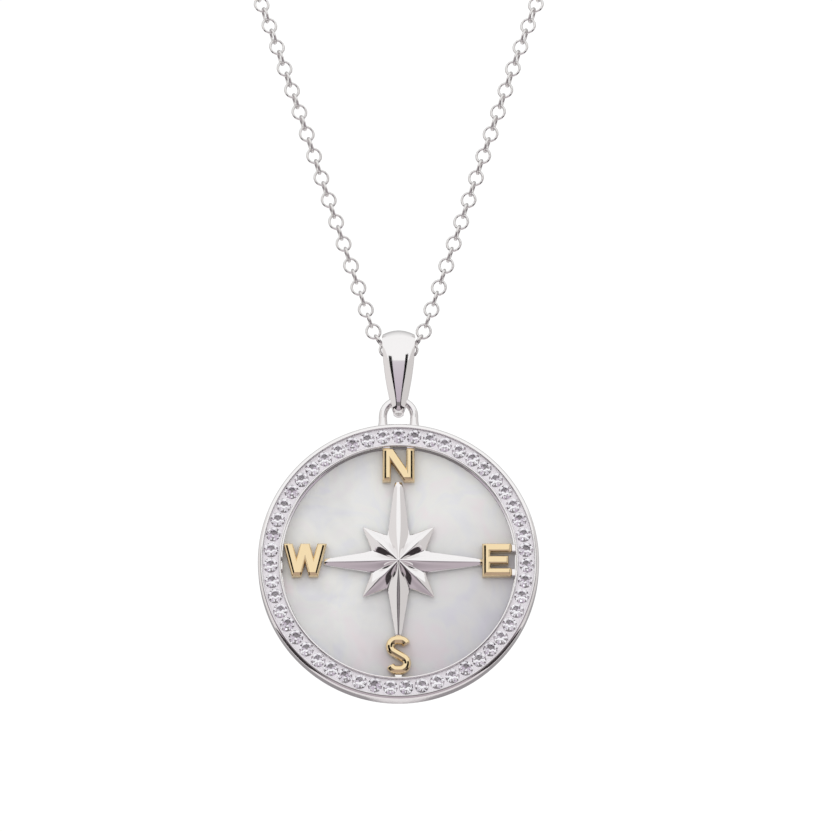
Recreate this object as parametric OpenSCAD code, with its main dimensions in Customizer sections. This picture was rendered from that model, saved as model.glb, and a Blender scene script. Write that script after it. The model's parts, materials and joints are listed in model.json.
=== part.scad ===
// Compass pendant on its chain, as it is worn: the nape of the neck is the origin,
// +Z is up and the pendant's face looks along -Y.

/* [Necklace] */
// Outer diameter of one chain link
chain_d = 1.48; // [1.2:0.02:2]
// Width of the loop at the sides of the neck
neck_w = 101; // [90:1:125]
// How far in front of the nape the pendant hangs
neck_reach = 100; // [85:1:120]
// How far below the nape the chain runs through the bail
neck_drop = 166; // [140:1:220]
// Angle of each strand to the vertical just above the bail, in degrees
strand_lean = 18.5; // [14:0.5:24]

/* [Clasp] */
// Length of the clasp's barrel
clasp_len = 7; // [5:0.5:12]
// Diameter of the barrel
clasp_d = 2.6; // [2:0.1:4]
// Wire of the eye at each end of the barrel
clasp_wire = 0.44; // [0.3:0.02:0.6]
// Hole of each eye
clasp_eye = 1; // [0.8:0.05:1.6]

/* [Bail] */
// Height of the bail
bail_h = 8.48; // [7:0.1:12]
// Width of the bail at its top
bail_top_w = 3.1; // [2.6:0.1:4.4]
// Width of the bail's rounded tip
bail_tip_w = 1.48; // [1.2:0.02:1.8]
// Wall of the bail over the chain
bail_wall = 0.6; // [0.4:0.05:0.9]
// Solid metal between the tip and the hollow
bail_foot = 1.02; // [0.7:0.02:1.4]
// How far the bail's front is domed across its top
bail_dome = 0.3; // [0.1:0.05:0.4]
// Clearance between the chain and the bail's hollow
bail_clearance = 0.3; // [0.2:0.05:0.5]

/* [Rim] */
// Diameter of the pendant
disc_d = 26; // [22:0.5:36]
// Thickness of the pendant
disc_t = 2.5; // [2.3:0.1:3.5]
// Polished lip outside the stones
lip_w = 0.4; // [0.25:0.01:0.6]
// Polished lip inside the stones
inner_lip_w = 0.2; // [0.16:0.01:0.5]
// Depth of the mother-of-pearl below the face
recess = 1; // [0.8:0.05:1.2]
// Thickness of the closed back
back_t = 0.6; // [0.4:0.05:0.8]

/* [Loop] */
// Outer width of the loop on top of the rim
loop_w = 3.65; // [3.2:0.05:5]
// Wire of the loop
loop_wire = 0.75; // [0.6:0.05:0.9]
// Height of the loop's straight legs above the rim
loop_leg = 1; // [0.8:0.05:1.6]
// How far the loop sits behind the disc's middle, so that the disc hangs straight
loop_back = 0.36; // [0:0.02:0.5]

/* [Stones] */
// Diameter of one stone
stone_d = 1.35; // [1.1:0.05:1.6]
// Least gap between two stones
stone_gap = 0.1; // [0.1:0.01:0.3]
// Diameter of a stone's table
table_d = 0.76; // [0.6:0.02:0.9]
// Height of a stone's crown
crown_h = 0.22; // [0.15:0.01:0.3]
// Depth of a stone's pavilion
pavilion_h = 0.55; // [0.4:0.01:0.6]
// Depth of the tables below the lip
stone_sink = 0.1; // [0.02:0.01:0.2]

/* [Star] */
// Radius of the notches between the star's arms
notch_r = 2.7; // [2:0.1:3.2]
// Reach of the four short arms
short_arm = 4.6; // [3.8:0.1:5.5]
// Width of a long arm where it meets its letter
arm_tip_w = 0.42; // [0.3:0.02:0.7]
// Gap between the star's back and the mother-of-pearl
star_lift = 0.25; // [0.1:0.05:0.35]
// Thickness of the star at its edge
star_edge = 0.28; // [0.2:0.02:0.4]
// Height of an arm's ridge over its edge, at the tip
ridge_h = 0.2; // [0.1:0.02:0.3]
// Thickness of the star at its centre
star_peak = 1.3; // [1:0.05:1.5]

/* [Letters] */
// Height of the letters N, E and W
letter_h = 3; // [2.6:0.05:3.6]
// Height of the letter S
s_h = 3.5; // [3:0.05:3.9]
// How far the E and the W stand above the star's middle
side_rise = 0.12; // [0:0.02:0.24]
// Width of a stroke
stroke = 0.7; // [0.5:0.02:0.76]
// Thickness of the letters
letter_t = 1; // [0.7:0.05:1.2]
// Width of the letter N
n_w = 2.9; // [2.3:0.05:3.2]
// Width of the letter E
e_w = 2.6; // [2:0.05:3]
// Width of the letter S
s_w = 2.25; // [2:0.05:2.6]
// Width of the letter W
w_w = 3.95; // [3.4:0.05:4.4]
// Distance of the N from the rim's inner wall
n_seat = 0.3; // [0.2:0.02:0.6]
// Distance of the E from the rim's inner wall
e_seat = 0.5; // [0.3:0.02:0.7]
// Distance of the S from the rim's inner wall
s_seat = 0.34; // [0.2:0.02:0.6]
// Distance of the W from the rim's inner wall
w_seat = 0.26; // [0.24:0.02:0.6]
// Width of the soldered tabs that carry the letters
tab_w = 0.7; // [0.5:0.05:0.9]

/* [Hidden] */
$fn = 48;

// Gaps between pieces that are set into or on each other
fit = 0.1;
solder_gap = 0.05;
swing_gap = 0.12;
stone_side = 0.09;
culet_gap = 0.08;
link_gap = 0.15;

// How far a cutting shape or a rough block stands over what it cuts
over = 1;

// Where the chain runs through the bail
chain_r = chain_d / 2;
chain_sides = 8;
pivot = [0, -neck_reach, -neck_drop];

// The bail, measured from the chain's axis
hollow_r = chain_r + bail_clearance;
bail_top_r = hollow_r + bail_wall;
bail_tip_r = bail_tip_w / 2;
bail_tip_z = bail_top_r - bail_h;
eye_clearance = 0.32;
eye_r = loop_wire / 2 + eye_clearance;
eye_z = bail_tip_z + bail_foot + eye_r;
bail_low_r = eye_r + bail_wall / 2;
bail_low_z = bail_tip_z + bail_low_r;
bail_arch = 0.45;
slot_share = 0.96;
dome_r = (pow(bail_top_w / 2, 2) + pow(bail_dome, 2)) / (2 * bail_dome);
dome_proud = 0.03;

// The loop's wire lies a little above the middle of the bail's eye
loop_r = (loop_w - loop_wire) / 2;
wire_lift = 0.05;
wire_z = eye_z + wire_lift;
loop_y = disc_d / 2 + loop_leg;
disc_drop = loop_y + loop_r - wire_z;
leg_sink = 0.25;
leg_flare = 0.15;

// Levels of the pendant above its middle plane, towards the front
face_z = disc_t / 2;
back_z = back_t - face_z;
nacre_top = face_z - recess;
nacre_bottom = back_z + fit;
channel_floor = face_z - stone_sink - crown_h - pavilion_h - culet_gap;
star_back = nacre_top + star_lift;
letter_back = nacre_top + fit;
tab_t = 0.7;
edge = 0.06;
back_bevel = 0.3;

// Radii of the pendant, from outside to inside
disc_r = disc_d / 2;
channel_out = disc_r - lip_w;
channel_in = channel_out - stone_d - 2 * stone_side;
wall_r = channel_in - inner_lip_w;
nacre_r = wall_r - fit;
stone_ring = (channel_out + channel_in) / 2;
stone_count = floor(360 / (2 * asin((stone_d + stone_gap) / 2 / stone_ring)));

// The middles of the letters, and the reach of the long arms: east, north, west, south
e_x = wall_r - e_seat - e_w / 2;
n_y = wall_r - n_seat - letter_h / 2;
w_x = wall_r - w_seat - w_w / 2;
s_y = wall_r - s_seat - s_h / 2;
long_arms = [e_x - e_w / 2 - solder_gap, n_y - letter_h / 2 - solder_gap,
             w_x - w_w / 2 - solder_gap, s_y - s_h / 2 - solder_gap];

// Widths of the slanted strokes of the N and the W, and the rise of the S's bowls
n_slant = 1.3 * stroke;
w_slant = 1.15 * stroke;
s_bowl = 0.43 * (s_h - stroke) / 2;
s_open = 22;

// The clasp's eyes, and where the chain starts beside them
eye_sink = 0.1;
eye_ring_r = (clasp_eye + clasp_wire) / 2;
eye_ring_x = clasp_len / 2 + eye_ring_r - eye_sink;
chain_start = [eye_ring_x + eye_ring_r + clasp_wire / 2 + link_gap, clasp_d / 2, 0];

// The strands pass the bail's upper edge at the swing's clearance
strand_foot = bail_top_w / 2
    + (chain_r + swing_gap - hollow_r * sin(strand_lean)) / cos(strand_lean);
bend_share = 0.8;
bend_r = bend_share * chain_d;
bend_run = bend_r * tan((90 - strand_lean) / 2);
bend_steps = 4;

// One side of the chain from the clasp to the strand, in shares of half the neck's
// width, of the reach and of the drop
neck_route = [
    [0.36, 0.025, 0.006], [0.68, 0.12, 0.022], [0.91, 0.28, 0.052],
    [1.00, 0.455, 0.105], [0.96, 0.60, 0.185], [0.855, 0.725, 0.283],
    [0.73, 0.825, 0.39], [0.575, 0.91, 0.525], [0.41, 0.968, 0.675]];
strand_heights = [32, 12, 2];
nape_lead = neck_w / 7;
route_steps = 3;

function unit(v) = v / norm(v);
function flip(p) = [-p[0], p[1], p[2]];
function strand(h) = pivot + [strand_foot + h * tan(strand_lean), 0, h];

// The bend from the middle of the bail up into the strand
function bend(i) =
    let (a = (90 - strand_lean) * i / bend_steps)
    pivot + [strand_foot - bend_run + bend_r * sin(a), 0, bend_r * (1 - cos(a))];

function through(a, b, c, d, t) =
    0.5 * (2 * b + (c - a) * t + (2 * a - 5 * b + 4 * c - d) * t * t
        + (3 * b - a - 3 * c + d) * t * t * t);

// Points of one side, from the clasp down to the end of the strand
knots = concat(
    [chain_start],
    [for (s = neck_route) [s[0] * neck_w / 2, -s[1] * neck_reach, -s[2] * neck_drop]],
    [for (h = strand_heights) strand(h)]);
guided = concat(
    [knots[0] - [nape_lead, 0, 0]], knots,
    [2 * knots[len(knots) - 1] - knots[len(knots) - 2]]);
side_path = concat(
    [for (i = [1 : len(guided) - 3], k = [0 : route_steps - 1])
        through(guided[i - 1], guided[i], guided[i + 1], guided[i + 2], k / route_steps)],
    [for (i = [bend_steps : -1 : 0]) bend(i)]);
chain_path = concat(
    side_path, [for (i = [len(side_path) - 1 : -1 : 0]) flip(side_path[i])]);

function arc(middle, r, from, to, steps = 16) =
    [for (i = [0 : steps]) let (a = from + (to - from) * i / steps)
        middle + r * [cos(a), sin(a)]];

// Corners of a regular outline with n sides, at height z
function ring_points(n, r, z, turn = 0) =
    [for (i = [0 : n - 1]) [r * cos(360 * i / n + turn), r * sin(360 * i / n + turn), z]];

// A round tube along a path, swept with a frame that doesn't twist
module tube(path, r, sides) {
    last = len(path) - 1;
    tangents = [for (i = [0 : last]) unit(path[min(i + 1, last)] - path[max(i - 1, 0)])];
    first = unit(cross(tangents[0], [0, 0, 1]));
    normals = [for (i = 0, n = first; i <= last;
                    i = i + 1, n = i <= last ? unit(n - tangents[i] * (n * tangents[i])) : n) n];
    points = [for (i = [0 : last], k = [0 : sides - 1])
        let (side = cross(tangents[i], normals[i]), a = 360 * k / sides)
        path[i] + r * (cos(a) * normals[i] + sin(a) * side)];
    walls = [for (i = [0 : last - 1], k = [0 : sides - 1])
        let (m = (k + 1) % sides)
        [i * sides + k, (i + 1) * sides + k, (i + 1) * sides + m, i * sides + m]];
    start_cap = [for (k = [0 : sides - 1]) k];
    end_cap = [for (k = [sides - 1 : -1 : 0]) last * sides + k];
    polyhedron(points, concat(walls, [start_cap], [end_cap]));
}

// Outline of two circles, one below the other, with their outer tangents
function teardrop(r_top, r_low, z_low) =
    let (lean = asin((r_top - r_low) / -z_low))
    concat(arc([0, 0], r_top, -lean, 180 + lean), arc([0, z_low], r_low, 180 + lean, 360 - lean));

module at_bail() translate(pivot) children();

// The pendant is drawn lying on its back, face up, and stood up here
module at_disc() translate(pivot - [0, loop_back, disc_drop]) rotate([90, 0, 0]) children();

// A drawing in Y and Z, given a thickness along X
module across(w) rotate([90, 0, 90]) linear_extrude(w, center = true) children();

// A drawing in X and Z, given a thickness along Y
module through_front(w) rotate([90, 0, 0]) linear_extrude(w, center = true) children();

module chain() {
    color("silver") tube(chain_path, chain_r, chain_sides);
}

module clasp() {
    color("silver") translate([0, clasp_d / 2, 0]) {
        rotate([0, 90, 0]) rotate_extrude() polygon([
            [0, -clasp_len / 2], [clasp_d / 4, -clasp_len / 2],
            [clasp_d / 2, clasp_d / 4 - clasp_len / 2], [clasp_d / 2, clasp_len / 2 - clasp_d / 4],
            [clasp_d / 4, clasp_len / 2], [0, clasp_len / 2]]);
        for (side = [-1, 1]) translate([side * eye_ring_x, 0, 0])
            rotate([90, 0, 0]) rotate_extrude() translate([eye_ring_r, 0]) circle(clasp_wire / 2);
    }
}

// The front and back of the bail are parts of cones that follow its taper
module bail_domes() {
    taper = (bail_top_r - bail_low_r) / -bail_low_z;
    low = dome_r + dome_proud + taper * (bail_tip_z - over);
    high = dome_r + dome_proud + taper * (bail_top_r + over);
    intersection_for (side = [-1, 1])
        translate([0, side * (dome_r - bail_top_r), bail_tip_z - over])
            cylinder(h = bail_h + 2 * over, r1 = low, r2 = high);
}

// The bail from the front: an arched top, sides that taper and a round tip
module bail_outline() {
    half = bail_top_w / 2;
    shoulder_z = bail_top_r - bail_arch;
    arch_r = (half * half + bail_arch * bail_arch) / (2 * bail_arch);
    arch_side = acos(half / arch_r);
    tip_z = bail_tip_z + bail_tip_r;
    lean = asin((half - bail_tip_r) / (shoulder_z - tip_z));
    polygon(concat(
        arc([0, bail_top_r - arch_r], arch_r, arch_side, 180 - arch_side),
        arc([0, tip_z], bail_tip_r, 180 + lean, 360 - lean)));
}

// Round where the chain and the loop run, with a tapered slot between
module bail_hollow() {
    w = bail_top_w + 2 * over;
    top = slot_share * hollow_r;
    low = slot_share * eye_r;
    rotate([0, 90, 0]) cylinder(h = w, r = hollow_r, center = true);
    translate([0, 0, eye_z]) rotate([0, 90, 0]) cylinder(h = w, r = eye_r, center = true);
    across(w) polygon([[-top, 0], [top, 0], [low, eye_z], [-low, eye_z]]);
}

module bail() {
    color("silver") at_bail() difference() {
        intersection() {
            across(bail_top_w + over) polygon(teardrop(bail_top_r, bail_low_r, bail_low_z));
            through_front(2 * bail_top_r + over) bail_outline();
            bail_domes();
        }
        bail_hollow();
    }
}

// Half the section of the rim and its closed back
module rim_section() {
    polygon([
        [0, -face_z], [disc_r - back_bevel, -face_z], [disc_r, back_bevel - face_z],
        [disc_r, face_z - edge], [disc_r - edge, face_z],
        [channel_out + edge, face_z], [channel_out, face_z - edge],
        [channel_out, channel_floor], [channel_in, channel_floor],
        [channel_in, face_z - edge], [channel_in - edge, face_z],
        [wall_r + edge, face_z], [wall_r, face_z - edge],
        [wall_r, back_z], [0, back_z]]);
}

// The loop's legs widen where they are soldered to the rim
module rim_loop() {
    leg_end = sqrt(pow(disc_r, 2) - pow(loop_r, 2)) - leg_sink;
    translate([0, loop_y, -loop_back]) rotate_extrude(angle = 180)
        translate([loop_r, 0]) circle(loop_wire / 2);
    for (side = [-1, 1]) translate([side * loop_r, loop_y, -loop_back]) rotate([90, 0, 0])
        cylinder(h = loop_y - leg_end, r1 = loop_wire / 2, r2 = loop_wire / 2 + leg_flare);
}

// A tab from the rim's inner wall to the back of a letter, drawn on the +X side
module tab(seat, offset) {
    inner = wall_r - seat + solder_gap;
    translate([inner, offset - tab_w / 2, letter_back])
        cube([wall_r + inner_lip_w / 2 - inner, tab_w, tab_t]);
}

module frame() {
    color("silver") at_disc() {
        rotate_extrude() rim_section();
        rim_loop();
        for (up = [-1, 1]) tab(e_seat, side_rise + up * (letter_h - tab_w) / 2);
        for (side = [-1, 1]) rotate(90) tab(n_seat, side * (n_w - tab_w) / 2);
        for (up = [-1, 1]) rotate(180) tab(w_seat, up * (letter_h - tab_w) / 4 - side_rise);
        rotate(270) tab(s_seat, 0);
    }
}

module mother_of_pearl() {
    color("whitesmoke") at_disc()
        translate([0, 0, nacre_bottom]) cylinder(h = nacre_top - nacre_bottom, r = nacre_r);
}

// Eight arms, the long ones ending bluntly against the letters. Each arm has a ridge
// from the peak to its tip and falls to the notches on both sides.
module star() {
    arms = 8;
    step = 360 / arms;
    notch = notch_r * [cos(step / 2), -sin(step / 2)];
    front = star_back + star_edge;
    short_tip = 0.05;
    function reach(k) = k % 2 == 0 ? long_arms[k / 2] : short_arm;
    function half_tip(k) = k % 2 == 0 ? arm_tip_w / 2 : short_tip;
    function spin(p, a) = [p[0] * cos(a) - p[1] * sin(a), p[0] * sin(a) + p[1] * cos(a), p[2]];
    // Columns of one arm: notch, right of tip, left of tip, at the back and at the front
    points = concat(
        [[0, 0, star_back + star_peak]],
        [for (k = [0 : arms - 1], p = [
            [notch[0], notch[1], star_back],
            [reach(k), -half_tip(k), star_back], [reach(k), half_tip(k), star_back],
            [notch[0], notch[1], front],
            [reach(k), -half_tip(k), front], [reach(k), half_tip(k), front],
            [reach(k), 0, front + ridge_h]]) spin(p, step * k)]);
    function at(k, i) = 1 + 7 * (k % arms) + i;
    sides = [for (k = [0 : arms - 1], f = [
        [at(k, 0), at(k, 3), at(k, 4), at(k, 1)],
        [at(k, 1), at(k, 4), at(k, 6), at(k, 5), at(k, 2)],
        [at(k, 2), at(k, 5), at(k + 1, 3), at(k + 1, 0)],
        [0, at(k, 6), at(k, 3)], [at(k, 3), at(k, 6), at(k, 4)],
        [0, at(k + 1, 3), at(k, 6)], [at(k + 1, 3), at(k, 5), at(k, 6)]]) f];
    floor_face = [for (k = [0 : arms - 1], i = [0 : 2]) at(k, i)];
    color("silver") at_disc() polyhedron(points, concat(sides, [floor_face]));
}

// Places a letter, drawn about its own middle, at its seat on the pendant
module letter(x, y) {
    color("gold") at_disc() translate([x, y, letter_back]) linear_extrude(letter_t) children();
}

// A slanted stroke between two heights, given by the left edge of each end
module slanted(x_top, x_low, h, w) {
    polygon([[x_top, h / 2], [x_top + w, h / 2], [x_low + w, -h / 2], [x_low, -h / 2]]);
}

module letter_n() {
    half = n_w / 2;
    top = letter_h / 2;
    crotch = top - letter_h * stroke / (n_w - n_slant);
    letter(0, n_y) polygon([
        [-half, -top], [stroke - half, -top], [stroke - half, crotch], [half - n_slant, -top],
        [half, -top], [half, top], [half - stroke, top], [half - stroke, -crotch],
        [n_slant - half, top], [-half, top]]);
}

module letter_e() {
    mid_short = stroke / 3;
    letter(e_x, side_rise) {
        translate([-e_w / 2, -letter_h / 2]) square([stroke, letter_h]);
        for (up = [-1, 0, 1]) translate([-e_w / 2, up * (letter_h - stroke) / 2 - stroke / 2])
            square([up == 0 ? e_w - mid_short : e_w, stroke]);
    }
}

// Outline of a stroke of width w that follows a path
function ribbon(path, w) =
    let (last = len(path) - 1)
    let (sides = [for (i = [0 : last])
        let (t = unit(path[min(i + 1, last)] - path[max(i - 1, 0)])) w / 2 * [-t[1], t[0]]])
    concat([for (i = [0 : last]) path[i] + sides[i]],
           [for (i = [last : -1 : 0]) path[i] - sides[i]]);

// Two round bowls, and a straight spine that runs on from both through the middle
module letter_s() {
    flat = (s_w - stroke) / 2 - s_bowl;
    high = (s_h - stroke) / 2 - s_bowl;
    spine = atan2(high, -flat) + acos(-s_bowl / norm([flat, high]));
    upper = concat(
        arc([flat, high], s_bowl, s_open, 90, 6), arc([-flat, high], s_bowl, 90, spine, 10));
    letter(0, -s_y) polygon(ribbon(
        concat(upper, [for (i = [len(upper) - 1 : -1 : 0]) -upper[i]]), stroke));
}

module letter_w() {
    step = (w_w - w_slant) / 4;
    letter(-w_x, side_rise) for (i = [0 : 3])
        slanted(
            (i % 2 == 0 ? i : i + 1) * step - w_w / 2,
            (i % 2 == 0 ? i + 1 : i) * step - w_w / 2, letter_h, w_slant);
}

// A round stone cut with a table, eight crown facets and eight pavilion facets
module stone() {
    girdle = crown_h + stone_sink;
    points = concat(
        ring_points(8, table_d / 2, face_z - stone_sink),
        ring_points(8, stone_d / 2, face_z - girdle),
        [[0, 0, face_z - girdle - pavilion_h]]);
    facets = [for (i = [0 : 7], f = [
        [i, (i + 1) % 8, 8 + (i + 1) % 8, 8 + i],
        [8 + i, 8 + (i + 1) % 8, 16]]) f];
    table = [for (i = [7 : -1 : 0]) i];
    polyhedron(points, concat(facets, [table]));
}

module crystals() {
    color("lavender") at_disc() for (i = [0 : stone_count - 1])
        rotate(90 + 360 * i / stone_count) translate([stone_ring, 0, 0]) stone();
}

chain();
clasp();
bail();
frame();
mother_of_pearl();
star();
letter_n();
letter_e();
letter_s();
letter_w();
crystals();
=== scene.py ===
"""Compass pendant on its chain: the finishes and the fine shapes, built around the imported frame.

Lengths in the classes are in millimetres. A piece of the pendant is drawn lying on its back, with
the disc's middle at the origin and its face towards +Z, and is stood up at the end.
"""

from __future__ import annotations

import json
import logging
import math
import random
from collections.abc import Callable, Iterator, Sequence
from contextlib import contextmanager
from dataclasses import dataclass
from enum import Enum
from typing import Any

import bmesh
import bpy
from mathutils import Matrix, Vector

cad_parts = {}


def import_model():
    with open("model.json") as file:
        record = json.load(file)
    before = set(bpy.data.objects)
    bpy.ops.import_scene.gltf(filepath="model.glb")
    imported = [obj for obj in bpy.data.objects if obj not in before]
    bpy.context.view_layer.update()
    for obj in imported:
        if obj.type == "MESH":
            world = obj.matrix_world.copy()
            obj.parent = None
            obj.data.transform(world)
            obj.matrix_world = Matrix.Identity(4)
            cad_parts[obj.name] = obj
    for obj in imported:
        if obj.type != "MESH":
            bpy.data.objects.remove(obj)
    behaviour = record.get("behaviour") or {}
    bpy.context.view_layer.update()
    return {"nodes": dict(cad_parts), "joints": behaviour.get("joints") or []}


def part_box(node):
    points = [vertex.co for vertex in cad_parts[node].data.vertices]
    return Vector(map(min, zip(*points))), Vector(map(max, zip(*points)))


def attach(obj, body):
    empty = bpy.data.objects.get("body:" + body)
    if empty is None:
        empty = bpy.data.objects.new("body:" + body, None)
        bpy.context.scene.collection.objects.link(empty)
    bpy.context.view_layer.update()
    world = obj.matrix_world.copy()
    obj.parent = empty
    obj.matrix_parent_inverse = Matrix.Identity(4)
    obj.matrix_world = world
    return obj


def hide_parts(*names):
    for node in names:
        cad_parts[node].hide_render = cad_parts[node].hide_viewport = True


LOG = logging.getLogger("compass_pendant")
MM = 0.001
# Points closer than this are one, and lengths that differ by less are equal
NEAR = 0.001
# How far the edge of a circle may lie from where it is looked for
RING_SLACK = 0.02
# A bisecting plane takes up the points that lie this close to it
CUT_SLACK = 1e-5
# A face looks along an axis where its normal has more than this share of it
ALONG = 0.9
# Nearly all of a noise pattern lies between these values
NOISE_SPAN = (0.3, 0.7)
Stops = tuple[tuple[float, str], ...]


class Body(Enum):
    """The bodies of the frame that pieces ride on."""

    NECKLACE = "necklace"
    BAIL = "bail"
    PENDANT = "pendant"


class Slot(Enum):
    """The record's material slots."""

    SILVER = "silver"
    GOLD = "gold_plate"
    NACRE = "nacre"
    CRYSTAL = "crystal"


class Part(Enum):
    """The kinds of mesh element that can be selected."""

    VERTS = "verts"
    EDGES = "edges"
    FACES = "faces"


# Working on meshes


def deselect_all() -> None:
    """Leaves edit mode and deselects every object."""
    if bpy.context.object and bpy.context.object.mode != "OBJECT":
        bpy.ops.object.mode_set(mode="OBJECT")
    bpy.ops.object.select_all(action="DESELECT")


def pick(*objects: bpy.types.Object) -> None:
    """Selects these objects alone and makes the first one active."""
    deselect_all()
    for obj in objects:
        obj.select_set(True)
    bpy.context.view_layer.objects.active = objects[0]


@contextmanager
def editing(obj: bpy.types.Object, part: Part = Part.FACES) -> Iterator[None]:
    """Holds an object in edit mode with nothing selected.

    Args:
        obj: The mesh object to edit.
        part: The kind of element that is selected inside.
    """
    pick(obj)
    bpy.ops.object.mode_set(mode="EDIT")
    bpy.ops.mesh.select_mode(type=part.name[:-1])
    bpy.ops.mesh.select_all(action="DESELECT")
    yield
    bpy.ops.object.mode_set(mode="OBJECT")


def middle_of(edge: Any) -> Vector:
    """Returns the middle of an edge."""
    return (edge.verts[0].co + edge.verts[1].co) / 2


def choose(obj: bpy.types.Object, part: Part, test: Callable[[Any], bool]) -> None:
    """Selects, in edit mode, the elements that pass a test and nothing else.

    Args:
        obj: The object that is being edited.
        part: The kind of element to go through.
        test: Says whether an element is wanted.
    """
    bpy.ops.mesh.select_all(action="DESELECT")
    mesh = bmesh.from_edit_mesh(obj.data)
    for item in getattr(mesh, part.value):
        if test(item):
            item.select_set(True)
    bmesh.update_edit_mesh(obj.data)


def ring_edge(radius: float, height: float | None = None) -> Callable[[Any], bool]:
    """Returns a test for the edges of circles about the Z axis.

    Args:
        radius: The circles' radius.
        height: The height of the one circle that is meant, or None for all of them.

    Returns:
        A test for choose().
    """

    def test(edge: Any) -> bool:
        """True if both ends of the edge lie on such a circle."""
        return all(
            abs(v.co.xy.length - radius) < RING_SLACK
            and (height is None or abs(v.co.z - height) < RING_SLACK)
            for v in edge.verts
        )

    return test


def extrude(offset: Sequence[float]) -> None:
    """Extrudes what is selected by an offset."""
    bpy.ops.mesh.extrude_region_move(TRANSFORM_OT_translate={"value": tuple(offset)})


def tidy_normals(obj: bpy.types.Object, merge: float = 0.0005) -> None:
    """Merges doubled vertices and turns all faces outwards.

    Args:
        obj: A closed mesh object.
        merge: The distance within which vertices are one.
    """
    with editing(obj):
        bpy.ops.mesh.select_all(action="SELECT")
        bpy.ops.mesh.remove_doubles(threshold=merge)
        bpy.ops.mesh.normals_make_consistent(inside=False)


def finish_with(obj: bpy.types.Object, kind: str, **settings: Any) -> None:
    """Adds a modifier with its settings and applies it.

    Args:
        obj: The object to finish.
        kind: The modifier's type.
        settings: Values of the modifier's properties.
    """
    pick(obj)
    modifier = obj.modifiers.new(kind.lower(), kind)
    for name, value in settings.items():
        setattr(modifier, name, value)
    bpy.ops.object.modifier_apply(modifier=modifier.name)


def smooth(obj: bpy.types.Object, angle: float = 35.0) -> None:
    """Shades an object smooth, apart from edges sharper than an angle in degrees."""
    pick(obj)
    bpy.ops.object.shade_smooth_by_angle(angle=math.radians(angle))


def even_flats(obj: bpy.types.Object) -> None:
    """Keeps flat faces flat in the light where they run into rounded edges."""
    finish_with(obj, "WEIGHTED_NORMAL", weight=50, keep_sharp=True)


def set_down(obj: bpy.types.Object, place: Matrix) -> None:
    """Moves a piece from its own drawing into the frame, with its place in its mesh.

    Args:
        obj: The piece.
        place: Where its drawing stands in the frame.
    """
    pick(obj)
    obj.matrix_world = place @ obj.matrix_world
    bpy.ops.object.transform_apply(location=True, rotation=True, scale=True)


def turned_to(x: Vector, y: Vector, z: Vector) -> Matrix:
    """Returns the turn that sets the axes of a drawing along these directions."""
    return Matrix((x, y, z)).transposed().to_4x4()


def move_points(obj: bpy.types.Object, goals: dict[int, Vector]) -> None:
    """Moves vertices of an object that is being edited.

    Args:
        obj: The object.
        goals: Where each vertex goes, by its number.
    """
    starts = {number: obj.data.vertices[number].co.copy() for number in goals}
    for number, goal in goals.items():
        choose(obj, Part.VERTS, lambda v, i=number: v.index == i)
        bpy.ops.transform.translate(value=goal - starts[number])


def slice_off(point: Sequence[float], way: Sequence[float]) -> None:
    """Cuts off what lies beyond a plane of an object that is being edited, and closes the cut.

    Args:
        point: A point of the plane.
        way: The direction beyond the plane.
    """
    bpy.ops.mesh.select_all(action="SELECT")
    bpy.ops.mesh.bisect(
        plane_co=point, plane_no=way, clear_outer=True, use_fill=True, threshold=CUT_SLACK
    )


def own_copy(obj: bpy.types.Object) -> bpy.types.Object:
    """Returns a copy of an object, with its own mesh.

    Args:
        obj: The object.

    Returns:
        The copy, which is in the scene.
    """
    copy = obj.copy()
    copy.data = obj.data.copy()
    bpy.context.scene.collection.objects.link(copy)
    return copy


def copies(obj: bpy.types.Object, places: Sequence[Matrix], name: str) -> bpy.types.Object:
    """Joins one copy of an object for each place into a new object.

    Args:
        obj: The model, which is removed.
        places: Where each copy goes.
        name: The new object's name.

    Returns:
        The joined object, with its origin at the world's.
    """
    made = []
    for index, place in enumerate(places):
        mesh = obj.data.copy()
        mesh.transform(place)
        copy = bpy.data.objects.new(f"{name}_{index}", mesh)
        bpy.context.scene.collection.objects.link(copy)
        made.append(copy)
    bpy.data.objects.remove(obj)
    pick(*made)
    bpy.ops.object.join()
    made[0].name = name
    return made[0]


def copy_of_node(node: bpy.types.Object, name: str, place: Matrix) -> bpy.types.Object:
    """Copies a node of the frame back into its own drawing, with its triangles merged.

    Args:
        node: The node's object.
        name: The copy's name.
        place: Where the drawing stands in the frame.

    Returns:
        The copy, in millimetres.
    """
    pick(node)
    bpy.ops.object.duplicate()
    copy = bpy.context.object
    copy.name = name
    copy.parent = None
    # The copy is a new piece, so it drops the marks of the node
    for mark in list(copy.keys()):
        del copy[mark]
    copy.data.transform(place.inverted())
    copy.data.materials.clear()
    with editing(copy):
        bpy.ops.mesh.select_all(action="SELECT")
        bpy.ops.mesh.customdata_custom_splitnormals_clear()
        bpy.ops.mesh.remove_doubles(threshold=NEAR)
        bpy.ops.mesh.dissolve_limited(angle_limit=math.radians(1))
    return copy


def hand_over(
    obj: bpy.types.Object, body: Body, materials: Sequence[bpy.types.Material],
    replaces: Sequence[str] = (),
) -> None:
    """Gives a finished piece its materials and its body, and hides the frame's nodes that it stands
    for.

    Args:
        obj: The piece, in its place.
        body: The body that it rides on.
        materials: Its materials, in the order of its slots.
        replaces: The frame's nodes that it stands for.
    """
    if not obj.data.materials:
        for material in materials:
            obj.data.materials.append(material)
    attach(obj, body.value)
    if replaces:
        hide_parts(*replaces)
    LOG.info("%s: %d faces, rides on %s", obj.name, len(obj.data.polygons), body.value)


# Finishes


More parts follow.
